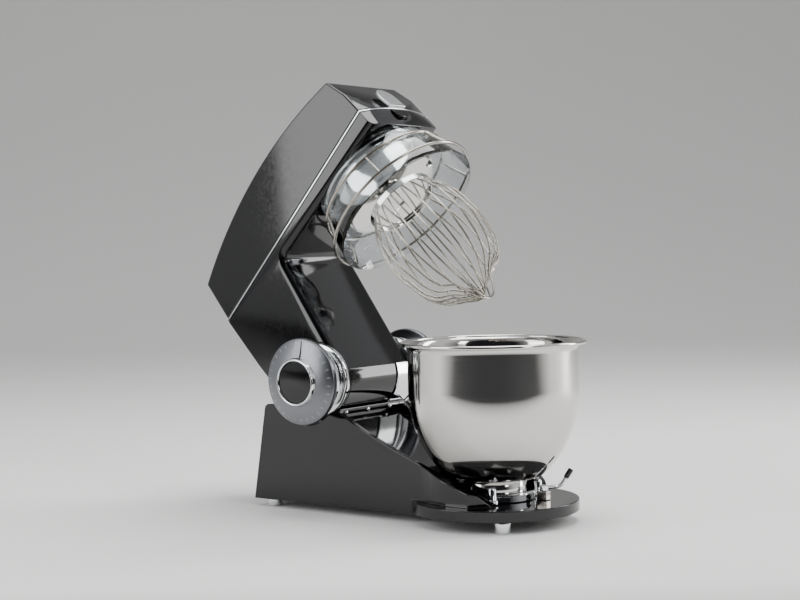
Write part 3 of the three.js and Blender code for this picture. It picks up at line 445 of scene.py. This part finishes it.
ring = edged([(SHAFT_HOLE, 71), (46, 71), (46, 80), (41, 80), (41, 84.6), (SHAFT_HOLE, 84.6)], 0.7)
collar = edged([(8, 85), (44, 85), (44, 104.5), (8, 104.5)], 0.8)
groove = turned([(43.4, 96.6), (46, 96.6), (46, 98.2), (43.4, 98.2)])
for place, body_ring, body_collar in (
        (dial_side, "barrel_ring", "dial_collar"), (lock_side, "far_barrel_ring", "lock_knob_collar")):
    piece(body_ring + "_turned", [turned(ring, 128)], chrome, place, "base", "chrome", body_ring, sharp=50)
    piece(body_collar + "_turned", [cut(turned(collar, 128), groove)], chrome, place, "base", "chrome",
          body_collar, sharp=50)
index_mark = extruded([(42.8, -0.9), (45.6, -0.9), (46, -0.5), (46, 0.5), (45.6, 0.9), (42.8, 0.9)], 88, 96, "Z")
piece("index_mark", [index_mark], chrome, dial_side, "base", "chrome", rounded=0.2)

# Speed dial and lock knob: shallow cones turned from aluminium and anodised dark silver.
# Turning leaves very fine rings, drawn 0.7 mm apart so that they show, which draw the
# light out into a soft sheen. A bright ring holds a gloss black cap at the middle.
DIAL_RIM = 105
SWAP_XY = Matrix(((0, 1, 0, 0), (1, 0, 0, 0), (0, 0, 1, 0), (0, 0, 0, 1)))
RING_SPACING = 0.7
dial_metal = new_material("anodised_turned_aluminium", Metallic=1.0, Roughness=0.3, Anisotropic=0.5)
dial_place = add(dial_metal, "ShaderNodeTexCoord")
dial_flat = add(dial_metal, "ShaderNodeVectorMath", {1: (1, 1, 0)}, [(0, dial_place, "Object")], operation="MULTIPLY")
dial_radius = add(dial_metal, "ShaderNodeVectorMath", links=[(0, dial_flat, "Vector")], operation="LENGTH")
dial_rings = add(dial_metal, "ShaderNodeTexNoise", {"W": 0.0, "Scale": 1000 / RING_SPACING, "Detail": 2.0},
                 [("W", dial_radius, "Value")], noise_dimensions="1D")
dial_relief = add(dial_metal, "ShaderNodeBump", {"Strength": 0.5, "Distance": 0.00002},
                  [("Height", dial_rings, "Fac")])
feed(dial_metal, "Normal", dial_relief, "Normal")
dial_tint = add(dial_metal, "ShaderNodeValToRGB", links=[("Fac", dial_rings, "Fac")])
for stop, position, tint in zip(dial_tint.color_ramp.elements, (0.3, 0.7), ("#6E7074", "#85878B")):
    stop.position, stop.color = position, linear(tint)
feed(dial_metal, "Base Color", dial_tint, "Color")
gloss_black = grained(new_material("gloss_black_acrylic", Base_Color=linear("#08080A"), IOR=1.49),
                      9.0, 0.003, rough=(0.05, 0.09))
mark_paint = grained(new_material("screen_printed_white", Base_Color=linear("#B9BBBE")), 0.8, 0.004,
                     rough=(0.45, 0.6))

cone = [(6, 0.4), *arc(2.6, -90, 0, 6, 52.4, 3), *arc(3, 0, 62, 8, 52, 6.5), (30, 16), (6, 16)]
bezel = [(26.4, 15), (31, 15.3), (30.6, 17.4), *arc(1.3, 20, 160, 10, 28.2, 19.6), (26.4, 18)]
cap_face = [(0, 15.4), (26.1, 15.4), (26.1, 18.2), (25.4, 18.9), (14, 19.5), (0, 19.7)]
pointer = extruded([(31, 17.4), (51.4, 10.7), (52, 9.9), (52, 7), (31, 7)], -6, 6)
pointer = moved(pointer, SWAP_XY)
pointer = combined(pointer, ("INTERSECT", extruded([(30, -7), (30, 7), (53, 4.4), (53, -4.4)], 0, 30, "Z")))
TICKS = 30
CONE_TILT = 0.296  # fall of the cone for each millimetre outwards


def tick(angle, near=46.4, far=50.6, half=0.3):
    """Printed line lying on the cone, pointing at its middle."""
    line = [(r, 16 - (r - 30) * CONE_TILT + lift) for r, lift in ((near, 0), (far, 0), (far, 0.35), (near, 0.35))]
    return moved(extruded(line, -half, half), spin(angle) @ SWAP_XY)


for place, body, disc_node, cap_node, marks in (
        (dial_side, "dial", "speed_dial", "dial_cap", range(14, 347, 360 // TICKS)),
        (lock_side, "lock", "lock_knob", "lock_knob_cap", (0, 90, 180, 270))):
    face_frame = place @ shift(0, 0, DIAL_RIM / 1000)
    disc = combined(turned(cone, 160), ("UNION", pointer)) if body == "dial" else turned(cone, 160)
    piece(disc_node + "_cone", [disc], dial_metal, face_frame, body, "dial_metal", disc_node, sharp=28)
    piece(disc_node + "_bezel", [turned(bezel, 128)], chrome, face_frame, body, "chrome", sharp=50)
    piece(cap_node + "_face", [turned(cap_face, 96)], gloss_black, face_frame, body, "gloss_black", cap_node)
    piece(disc_node + "_marks", [tick(angle) for angle in marks], mark_paint, face_frame, body, "dial_metal")

# Studs along the joint between the barrel and the base: small domed chrome screws.
STUD_ANGLE = -119
for number, x in enumerate((-55, -10, 36), 1):
    dome = turned([(0, -2), (4, -2), (4, 0), *arc(4, 8, 90, 8, 0, 0)[:-1], (0, 3)], 40)
    dome = [(r_x, r_y, h * 0.8) for r_x, r_y, h in dome[0]], dome[1]
    stud_frame = hinge_frame @ shift(x / 1000, 0, 0) @ spin(STUD_ANGLE - 90, "X") @ shift(0, 0, CRADLE_OUTER / 1000)
    piece(f"stud_{number}", [dome], chrome, stud_frame, "base", "chrome", f"barrel_stud_{number}")

# Cradle sleeve: the lower half of the bright sleeve round the barrel, pressed over the cradle.
SLEEVE_X = (29.6, 61.4)
sleeve_outer, sleeve_inner = (arc(CRADLE_OUTER + step, -125.6, -60, 48) for step in (0.7, -0.2))
cradle_sleeve = extruded([*sleeve_outer, *reversed(sleeve_inner)], *SLEEVE_X)
piece("cradle_sleeve", [cradle_sleeve], chrome, hinge_frame, "base", "chrome", rounded=0.25)

# Arm: one casting in aluminium makes the hollow column and the head's lower half, enamelled
# like the base. Its column's front edges and the head's lower edges are widely rounded.
arm_frame = hinge_frame @ Matrix.Rotation(-TILT, 4, "X")
UNDERSIDE_Z = 154
HEAD_HALF = 71
HEAD_REAR_Y, NOSE_Y, NOSE_BOW = 58, -294, 9
SEAM_REAR_Z, SEAM_SLOPE = 168.5, 0.0313
COLUMN_FRONT = ((-33.3, -17), (-68.5, UNDERSIDE_Z))
BARREL_START, BARREL_END = 207, PARTING_ANGLE + math.degrees(TILT)
WIDE_ROUND, WIDE_STEPS = 9, 8
BUTTON_HALF, BUTTON_DEPTH, BUTTON_TOP = 16.8, 14.5, 177.6


def seam_z(y):
    """Height of the seam, which slopes towards the nose."""
    return SEAM_REAR_Z + (HEAD_REAR_Y - y) * SEAM_SLOPE


def head_plan(inset=0, rear_inset=None):
    """Head seen from above: straight sides and a bowed nose."""
    rear = HEAD_REAR_Y + 30 - (inset if rear_inset is None else rear_inset)
    half = HEAD_HALF - inset
    nose = bend((-half, NOSE_Y + inset), (0, NOSE_Y - 2 * NOSE_BOW + inset), (half, NOSE_Y + inset), 36)
    return [(half, rear), (-half, rear), *nose]


def seam_slab(low, high):
    """Slab between two heights measured from the sloping seam."""
    front, rear = NOSE_Y - 60, HEAD_REAR_Y + 60
    return extruded([(front, seam_z(front) + low), (rear, seam_z(rear) + low),
                     (rear, seam_z(rear) + high), (front, seam_z(front) + high)], -120, 120)


def arm_side(inset):
    """Side outline of the arm, with the column's front and the head's underside set in."""
    column_in, head_in = Vector((0.983, 0.182)), Vector((0, 1))
    knee = bend((-66, 142), COLUMN_FRONT[1], (-80, UNDERSIDE_Z), 8)
    moved_in = [Vector(COLUMN_FRONT[0]) + column_in * inset]
    for i, corner in enumerate(knee):
        moved_in.append(Vector(corner) + column_in.lerp(head_in, i / 8).normalized() * inset)
    moved_in.append(Vector((NOSE_Y + 6 - NOSE_BOW, UNDERSIDE_Z)) + head_in * inset)
    return [
        (HEAD_REAR_Y, 180), (64, 90), *arc(COLUMN_FOOT_RADIUS, -4, -4, 1)[:1], *foot_ease,
        *arc(BARREL_RADIUS, -56, BARREL_START - 360, 22), *(tuple(p) for p in moved_in), (NOSE_Y - 1 - NOSE_BOW, 183),
    ]


def lofted(slices):
    """Solid through (x, outline) slices that all have the same number of points."""
    count = len(slices[0][1])
    points = [(x, y, z) for x, outline in slices for y, z in outline]
    faces = [tuple(range(count))[::-1], tuple(range(len(points) - count, len(points)))]
    for row in range(0, len(points) - count, count):
        for k in range(count):
            after = (k + 1) % count
            faces.append((row + k, row + after, row + count + after, row + count + k))
    return points, faces


arm_inside = [
    (HEAD_REAR_Y - 4, 190), (60, 90), (COLUMN_FOOT_RADIUS - 4, 0), *arc(COLUMN_FOOT_RADIUS - 4, -4, -17, 8),
    (0, 0), (COLUMN_FRONT[0][0] + 8, -17), (COLUMN_FRONT[1][0] + 4, UNDERSIDE_Z + 4),
    (NOSE_Y + 10 - NOSE_BOW, UNDERSIDE_Z + 4), (NOSE_Y + 3 - NOSE_BOW, 190),
]
half_slices = []
for step in range(WIDE_STEPS + 1):
    turn = math.radians(90 * step / WIDE_STEPS)
    slice_x = HEAD_HALF - 0.01 - WIDE_ROUND * (1 - math.sin(turn))
    half_slices.append((slice_x, arm_side(WIDE_ROUND * (1 - math.cos(turn)))))
arm_body = lofted([(-x, outline) for x, outline in reversed(half_slices)] + half_slices)


def button_solid(margin, low, high):
    """Half oval below the seam, grown evenly by a margin. Its Z points out of the nose."""
    rim = [(x * (BUTTON_HALF + margin), BUTTON_TOP + z * (BUTTON_DEPTH + margin)) for x, z in arc(1, 180, 360, 40)]
    width, top = BUTTON_HALF + margin, BUTTON_TOP + margin
    return extruded([*rim, (width, top), (-width, top)], low, high, "Z")


inside = combined(extruded(arm_inside, -CAVITY_X, CAVITY_X), ("INTERSECT", extruded(head_plan(4), -100, 300, "Z")))
arm_shell = combined(
    arm_body,
    ("INTERSECT", extruded(head_plan(), -100, 300, "Z")),
    ("DIFFERENCE", seam_slab(-1.2, 100)),
    ("DIFFERENCE", inside),
    ("DIFFERENCE", extruded([(0, 0), *arc(100, -17, -85, 12)], -CAVITY_X, CAVITY_X)),
    ("DIFFERENCE", extruded([(0, 0), *arc(BARREL_RADIUS + 0.4, BARREL_START - 0.6, BARREL_END + 363, 40)],
                            -CAVITY_X, CAVITY_X)),
    ("DIFFERENCE", moved(rod(60.4, 140, 162), shift(0, -REACH, 0))),
    ("DIFFERENCE", rod(12.4, -90, 90, "X")),
    ("DIFFERENCE", moved(button_solid(0.4, -NOSE_Y - 20, 20 - NOSE_Y), spin(90, "X"))),
)
piece("arm_shell", [arm_shell], enamel, arm_frame, "arm", "gloss_paint", "arm_casting", rounded=0.8)

# Barrel: a rolled and enamelled shell that comes out below the column's front, with a chromed
# sleeve round its far end. Both stop at the joint with the base.
for name, radius, x_range, material, finish, node in (
        ("barrel_shell", BARREL_RADIUS, (-65.7, 29.2), enamel, "gloss_paint", "hinge_barrel"),
        ("sleeve_shell", BARREL_RADIUS + 2, (29.6, 65.7), chrome, "chrome", "barrel_sleeve")):
    outer = arc(radius, BARREL_START, BARREL_END + 360, 60)
    inner = [*arc(36, BARREL_START, BARREL_START + 4, 2), *arc(BARREL_INNER, BARREL_START + 4, BARREL_END + 360, 50)]
    piece(name, [extruded([*outer, *reversed(inner)], *x_range)], material, arm_frame, "arm", finish, node,
          rounded=0.8)

# Top cover: a thin die-cast lid over the head with an arched back, enamelled like the arm.
COVER_ARCH = 23
COVER_SHEET = 3.5


def cover_side(inset):
    """Side outline of the cover, set in evenly."""
    rear, front = HEAD_REAR_Y - 9 - inset, NOSE_Y + 7 + inset
    arch = bend((rear, 229 - inset), ((rear + front) / 2, 239 + 2 * COVER_ARCH - inset), (front, 246 - inset), 48)
    return [(HEAD_REAR_Y + 1 - inset, 160), *arch, (NOSE_Y - 12 + inset, 160)]


def cover_solid(inset):
    """Cover as a full body, set in evenly."""
    return combined(extruded(cover_side(inset), -90, 90), ("INTERSECT", extruded(head_plan(inset), 100, 320, "Z")))


cover = combined(cover_solid(0), ("DIFFERENCE", cover_solid(COVER_SHEET)), ("DIFFERENCE", seam_slab(-100, 1.2)))
piece("cover_shell", [cover], enamel, arm_frame, "arm", "gloss_paint", "top_cover", rounded=EDGE_ROUND)

# Trim: a bright bead of polished stainless steel in the seam, round the nose and both sides.
band = combined(
    extruded(head_plan(-0.9), 100, 320, "Z"),
    ("INTERSECT", seam_slab(-0.8, 0.8)),
    ("DIFFERENCE", extruded([(-100, 58.9), (100, 58.9), (100, 200), (-100, 200)], 100, 300, "Z")),
    ("DIFFERENCE", extruded(head_plan(3.2, 33), 90, 330, "Z")),
)
piece("seam_bead", [band], chrome, arm_frame, "arm", "chrome", "trim_band", rounded=0.35)

# Badge and release button on the nose: a blank plate of brushed steel with a round top that
# stands on the seam, and below it a gloss black half-oval button with a softly turned edge.
NOSE_LEAN = math.degrees(math.atan2(7, 246 - 178))
BADGE_RADIUS, BADGE_LOW, BADGE_CENTRE = 16.5, 181.2, 201.5
badge_metal = grained(new_material("brushed_badge_steel", Base_Color=linear("#BDBEC0"), Metallic=1.0),
                      1.2, 0.004, rough=(0.24, 0.36), stretch=(0.05, 1, 1))


def nose_y(z):
    """Middle of the bowed nose at a height."""
    return NOSE_Y - NOSE_BOW + (z - 178) * 7 / 68


badge_frame = (arm_frame @ shift(0, (nose_y(BADGE_CENTRE) - 0.3) / 1000, BADGE_CENTRE / 1000)
               @ spin(90 - NOSE_LEAN, "X"))
tongue = [(-BADGE_RADIUS, BADGE_LOW - BADGE_CENTRE), (BADGE_RADIUS, BADGE_LOW - BADGE_CENTRE),
          *arc(BADGE_RADIUS, 0, 180, 48)]
piece("blank_badge", [extruded(tongue, 0, 3.9, "Z")], badge_metal, badge_frame, "arm", "polished_steel",
      "nose_badge", rounded=0.8)
button_face = 1.2 - NOSE_Y + NOSE_BOW
piece("release_button", [button_solid(0, -NOSE_Y - 4, button_face)], gloss_black, arm_frame @ spin(90, "X"), "button",
      "gloss_black", "nose_button", rounded=1.3)

# Planetary drum: a deep-drawn steel cup, mirror polished, with a round notch in its edge.
# Polishing leaves faint circles round the axis.
DRUM_RADIUS, DRUM_BOTTOM = 68, 112
SPINDLE_OFFSET, SPINDLE_ANGLE = 20, 212
planet_frame = arm_frame @ shift(0, -REACH / 1000, 0)
offset = [SPINDLE_OFFSET * f(math.radians(SPINDLE_ANGLE)) for f in (math.cos, math.sin)]
spindle_frame = planet_frame @ shift(offset[0] / 1000, offset[1] / 1000, 0)
polished_steel = grained(new_material("polished_stainless_steel", Base_Color=linear("#D2D1CE"), Metallic=1.0),
                         6.0, 0.003, rough=(0.07, 0.13), stretch=(0.15, 0.15, 3))
drum_profile = [(0, DRUM_BOTTOM), (63, DRUM_BOTTOM), *arc(5, -90, 0, 10, DRUM_RADIUS - 5, DRUM_BOTTOM + 5),
                (DRUM_RADIUS, 147.4), (DRUM_RADIUS - 0.6, 148), (DRUM_RADIUS - 3, 148),
                (DRUM_RADIUS - 3, DRUM_BOTTOM + 3), (0, DRUM_BOTTOM + 3)]
drum = cut(turned(drum_profile, 128),
           moved(rod(9, 100, 135), spin(-60) @ shift(DRUM_RADIUS - 2, 0, 0)),
           moved(rod(8.4, 100, 140), shift(*offset, 0)))
piece("drum_cup", [drum], polished_steel, planet_frame, "planet", "chrome", "planet_drum", rounded=0.5)
boss = turned(edged([(8.4, DRUM_BOTTOM - 1.2), (15, DRUM_BOTTOM - 1.2), (15, DRUM_BOTTOM + 0.5),
                     (8.4, DRUM_BOTTOM + 0.5)], 0.4), 64)
piece("spindle_boss", [boss], polished_steel, spindle_frame, "planet", "chrome")

# Splash guard: an injection-moulded polycarbonate shell, clear with cool blue edges, carried
# in a frame of polished steel wire that hooks under the head.
GUARD_TOP, GUARD_RIM = 148, 80
clear_plastic = grained(new_material("clear_polycarbonate", Base_Color=linear("#F4F9FC"), IOR=1.585,
                                     Transmission_Weight=1.0), 30.0, 0.004, rough=(0.0, 0.02))
t = 1.6
shell_profile = [
    (101.5 - t, GUARD_RIM + 0.6), (101.2 - t / 2, GUARD_RIM), (101.5, GUARD_RIM + 0.6),
    *bend((92.4, 118), (85.8, 145), (82, GUARD_TOP + 1), 10), (73.6, GUARD_TOP + 3), (73, GUARD_TOP + 1.8),
    (73.6, GUARD_TOP + 0.6), *bend((82, GUARD_TOP - t + 1.4), (83.6, 143.4), (92.4 - t, 117.4), 10),
]
piece("guard_shell", [turned(shell_profile, 160)], clear_plastic, planet_frame, "guard", "clear_plastic",
      "splash_guard", sharp=50)
wire_steel = grained(new_material("drawn_stainless_wire", Base_Color=linear("#A8A39B"), Metallic=1.0),
                     2.5, 0.003, rough=(0.14, 0.22))


def wire_piece(name, runs, radius, material, local, body, finish, *nodes, closed=False):
    """Round wire through points in millimetres, one spline for each run."""
    curve = bpy.data.curves.new(name, "CURVE")
    curve.dimensions = "3D"
    curve.bevel_depth = radius / 1000
    curve.bevel_resolution = 3
    curve.resolution_u = 6
    curve.use_fill_caps = True
    for run in runs:
        spline = curve.splines.new("BEZIER")
        spline.bezier_points.add(len(run) - 1)
        spline.use_cyclic_u = closed
        for knot, place in zip(spline.bezier_points, run):
            knot.co = Vector(place) / 1000
            knot.handle_left_type = knot.handle_right_type = "AUTO"
    curve.materials.append(material)
    made = bpy.data.objects.new(name, curve)
    bpy.context.scene.collection.objects.link(made)
    made.matrix_world = local
    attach(made, body)
    if nodes:
        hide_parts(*nodes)
    return made


hoops = [[(x, y, h) for x, y in arc(r, 0, 360, 24)[:-1]] for r, h in ((92.5, 128), (105.4, 92.5))]
wire_piece("guard_hoops", hoops, 2.0, wire_steel, planet_frame, "arm", "polished_steel", "guard_wires", closed=True)
struts = []
for angle in range(30, 360, 60):
    c, s = math.cos(math.radians(angle)), math.sin(math.radians(angle))
    struts.append([(r * c, r * s, h) for r, h in ((92.9, 127), (98.6, 111), (105.2, 93.6))])
wire_piece("guard_struts", struts, 1.5, wire_steel, planet_frame, "arm", "polished_steel")
hooks = [[(x, 104, 92.5), (x, 113, 106), (x, 112, 120), (x, 100, 140), (x, 96, 153.2)] for x in (-14, 14)]
wire_piece("guard_hooks", hooks, 1.8, wire_steel, planet_frame, "arm", "polished_steel")

# Balloon whisk: twelve loops of hard-drawn stainless wire set in a pressed collar, held on
# the spindle by a bayonet socket and a cross pin.
COLLAR_Z, COLLAR_RADIUS = 84, 47
LOOPS, LOOP_STEP, TIP_Z = 12, 1.6, -91
loops = []
for i in range(LOOPS):
    tip = TIP_Z + i * LOOP_STEP
    half = [(45, COLLAR_Z - 2), (57, 58), (64.5, 22), (61.5, -16), (49, -51), (31, tip + 16), (14, tip + 3.5)]
    turn = math.pi * i / LOOPS
    path = [*half, (0, tip), *((-r, h) for r, h in reversed(half))]
    loops.append([(r * math.cos(turn), r * math.sin(turn), h) for r, h in path])
wire_piece("whisk_loops", loops, 1.2, wire_steel, spindle_frame, "spindle", "polished_steel", "whisk")
collar_profile = [
    (0, COLLAR_Z), (42, COLLAR_Z), (43, COLLAR_Z - 1), (43, COLLAR_Z - 3.6),
    (43.6, COLLAR_Z - 4), (46.4, COLLAR_Z - 4),
    (COLLAR_RADIUS, COLLAR_Z - 3.4), (COLLAR_RADIUS, COLLAR_Z + 4), (46.4, COLLAR_Z + 4.6), (43.6, COLLAR_Z + 4.6),
    (43, COLLAR_Z + 4), (43, COLLAR_Z + 2.4), (0, COLLAR_Z + 2.4),
]
slot = extruded([(-2, 6), (2, 6), (2, 18.5), *arc(2, 0, 180, 8, 0, 18.5), (-2, 18.5)], 70, 100, "Z")
keyhole = combined(rod(4, 70, 100, steps=48), ("UNION", slot))
whisk_plate = cut(turned(collar_profile, 128), keyhole)
piece("whisk_plate", [whisk_plate], polished_steel, spindle_frame, "spindle", "polished_steel", rounded=0.3)
socket = cut(turned(edged([(6.4, 89), (10, 89), (10, 104), (6.4, 104)], 0.6), 64),
             moved(rod(2.6, -20, 20, "X"), shift(0, 0, 98)),
             extruded([(-20, -2.6), (20, -2.6), (20, 2.6), (-20, 2.6)], 98, 110, "Z"))
piece("bayonet_socket", [socket], wire_steel, spindle_frame, "spindle", "polished_steel", "whisk_socket")

# Bowl: spun from stainless sheet with a rolled rim and mirror polished, on a welded foot ring.
# Spinning leaves faint rings round the wall, drawn about 2 mm apart so that they show.
BOWL_RADIUS, RIM_RADIUS, RIM_Z, BOWL_BOTTOM = 105.5, 116, 223.5, 54
SHOULDER_Z, ROUND_DEPTH, BOWL_SHEET = 165, 131, 1.4
bowl_frame = machine_frame @ shift(0, BOWL_Y / 1000, 0)


def bowl_wall(inset):
    """Points down the bowl's rounded wall, set in by the sheet or not at all."""
    wall = [((BOWL_RADIUS - inset) * math.cos(t), SHOULDER_Z - (ROUND_DEPTH - inset) * math.sin(t))
            for t in (math.radians(90 * i / 40) for i in range(41))]
    return [(r, h) for r, h in wall if h > BOWL_BOTTOM + inset + 2]


bowl_profile = [
    (0, BOWL_BOTTOM), (50, BOWL_BOTTOM), *reversed(bowl_wall(0)), (BOWL_RADIUS, RIM_Z - 12),
    *bend((BOWL_RADIUS + 0.3, RIM_Z - 9), (BOWL_RADIUS + 1.5, RIM_Z - 4.6), (RIM_RADIUS - 6, RIM_Z - 4.2), 6),
    *arc(2.6, -120, 180, 24, RIM_RADIUS - 2.6, RIM_Z - 2.6),
    *bend((RIM_RADIUS - 6.6, RIM_Z - 2.4), (BOWL_RADIUS + 0.2, RIM_Z - 3), (BOWL_RADIUS - BOWL_SHEET, RIM_Z - 10), 6),
    *bowl_wall(BOWL_SHEET), (49, BOWL_BOTTOM + BOWL_SHEET), (0, BOWL_BOTTOM + BOWL_SHEET),
]
spun_steel = grained(new_material("spun_polished_steel", Base_Color=linear("#CECCC8"), Metallic=1.0),
                     6.0, 0.006, rough=(0.06, 0.11), stretch=(0.06, 0.06, 3))
piece("mixing_bowl", [turned(bowl_profile, 192)], spun_steel, bowl_frame, "bowl", "polished_steel", "bowl", sharp=50)
foot_ring = edged([(36, 28.4), (39, 28.4), (39, 53.6), (36, 53.6)], 0.6)
piece("bowl_foot", [turned(foot_ring, 128)], polished_steel, bowl_frame, "bowl", "polished_steel", "bowl_foot_ring",
      sharp=50)

# Clamp: a chromed ring round the bowl's foot with four upright pins on lugs, bolted to the
# plate. A bent lever with a black grip turns on a steel block beside it.
PLATE_REST = PLATE_TOP + 0.4
clamp = turned(edged([(40, PLATE_REST), (50, PLATE_REST), (50, PLATE_REST + 9), (40, PLATE_REST + 9)], 1), 128)
pin = turned([(0, PLATE_REST), (7, PLATE_REST), (7, 32.2), (6.6, 32.8), (5.4, 33.2), (5, 33.8), (5, 46), (4.6, 47.4),
              (3, 49), (0, 49.5)], 40)
lug = extruded([(44, -5), (54, -5), (54, 5), (44, 5)], PLATE_REST, PLATE_REST + 3.6, "Z")
clamp_solids = []
for angle in (-150, -45, 45, 150):
    clamp_solids += [("UNION", moved(lug, spin(angle))), ("UNION", moved(pin, spin(angle) @ shift(54, 0, 0)))]
piece("clamp", [combined(clamp, *clamp_solids)], chrome, bowl_frame, "base", "chrome", "clamp_ring", sharp=40)
LEVER_X, LEVER_Y, LEVER_Z = 16, -61, 42
pivot = extruded([(10, -68), (20, -68), (22, -66), (22, -56), (20, -54), (10, -54)], PLATE_REST, LEVER_Z - 3, "Z")
piece("pivot_block", [pivot], wire_steel, bowl_frame, "base", "polished_steel", "lever_block", rounded=0.8)
rod_path = [(LEVER_X, LEVER_Y, 43), (28, -67, 43), (35, -72, 44), (41, -78, 54), (45, -83, 64)]
wire_piece("lever_rod", [rod_path], 2.4, chrome, bowl_frame, "lever", "chrome", "clamp_lever")
hub = turned(edged([(0, LEVER_Z - 2.6), (5.5, LEVER_Z - 2.6), (5.5, LEVER_Z + 4), (0, LEVER_Z + 4)], 0.6)[1:-1], 48)
piece("lever_hub", [moved(hub, shift(LEVER_X, LEVER_Y, 0))], chrome, bowl_frame, "lever", "chrome")
grip_axis = Vector(rod_path[-1]) - Vector(rod_path[-2])
grip_turn = grip_axis.to_track_quat("Z", "X").to_matrix().to_4x4()
grip_frame = bowl_frame @ Matrix.Translation(Vector(rod_path[-1]) / 1000) @ grip_turn
grip_sleeve = turned([(0, -13), (3, -13), (3.4, -12.4), (3.4, -1), (2.8, -0.2), (0, -0.2)], 40)
piece("lever_grip", [grip_sleeve], gloss_black, grip_frame, "lever", "gloss_black")

# Inside and below: the motor, belt, gears, bearings, switch and control board, and the sheet
# that closes the base. Each keeps the shape it has, in the finish of its own material.
machined = grained(new_material("machined_steel", Base_Color=linear("#8D8F92"), Metallic=1.0), 1.5, 0.006,
                   rough=(0.3, 0.42))
nylon = grained(new_material("glass_filled_nylon", Base_Color=linear("#26272A"), IOR=1.53), 0.8, 0.02,
                rough=(0.5, 0.65), tints=("#222326", "#2B2C2F"))
rubber = grained(new_material("moulded_rubber", Base_Color=linear("#141415"), IOR=1.52), 1.0, 0.03, rough=(0.7, 0.85),
                 tints=("#121213", "#19191A"))
winding = grained(new_material("enamelled_copper_wire", IOR=1.5, Metallic=0.6), 0.9, 0.2, rough=(0.35, 0.5),
                  stretch=(0.1, 0.1, 1), tints=("#8A4A2A", "#B06A3E"))
laminate = grained(new_material("glass_epoxy_board", IOR=1.55), 2.0, 0.01, rough=(0.35, 0.5),
                   tints=("#1C5133", "#23603E"))
INNER_FINISHES = {
    "machined_steel": machined, "polished_steel": wire_steel, "chrome": chrome, "dark_plastic": nylon,
    "rubber": rubber, "copper_winding": winding, "circuit_board": laminate,
    "gloss_paint": enamel, "gloss_black": gloss_black, "clear_plastic": clear_plastic, "dial_metal": dial_metal,
}
INNER_NODES = {
    "bottom_cover": "machined_steel", "cord_gland": "rubber", "control_board": "circuit_board",
    "hinge_bracket": "machined_steel", "hinge_shaft": "polished_steel", "speed_switch": "dark_plastic",
    "dial_shaft": "polished_steel", "lock_knob_shaft": "polished_steel", "motor_plate": "machined_steel",
    "motor": "copper_winding", "motor_shaft": "polished_steel", "motor_pulley": "machined_steel",
    "drive_belt": "rubber", "gear_housing": "dark_plastic", "ring_gear": "machined_steel",
    "main_bearing": "polished_steel", "main_shaft": "polished_steel", "drive_pulley": "dark_plastic",
    "spindle_bush": "machined_steel", "spindle": "polished_steel", "pinion": "machined_steel",
    **{f"cover_screw_{n}": "machined_steel" for n in range(1, 5)},
}
for node, finish in INNER_NODES.items():
    inner_part = frame["nodes"][node]
    inner_part.data.materials.clear()
    inner_part.data.materials.append(INNER_FINISHES[finish])
    inner_part.data.shade_smooth()
    inner_part.data.set_sharp_from_angle(angle=math.radians(30))
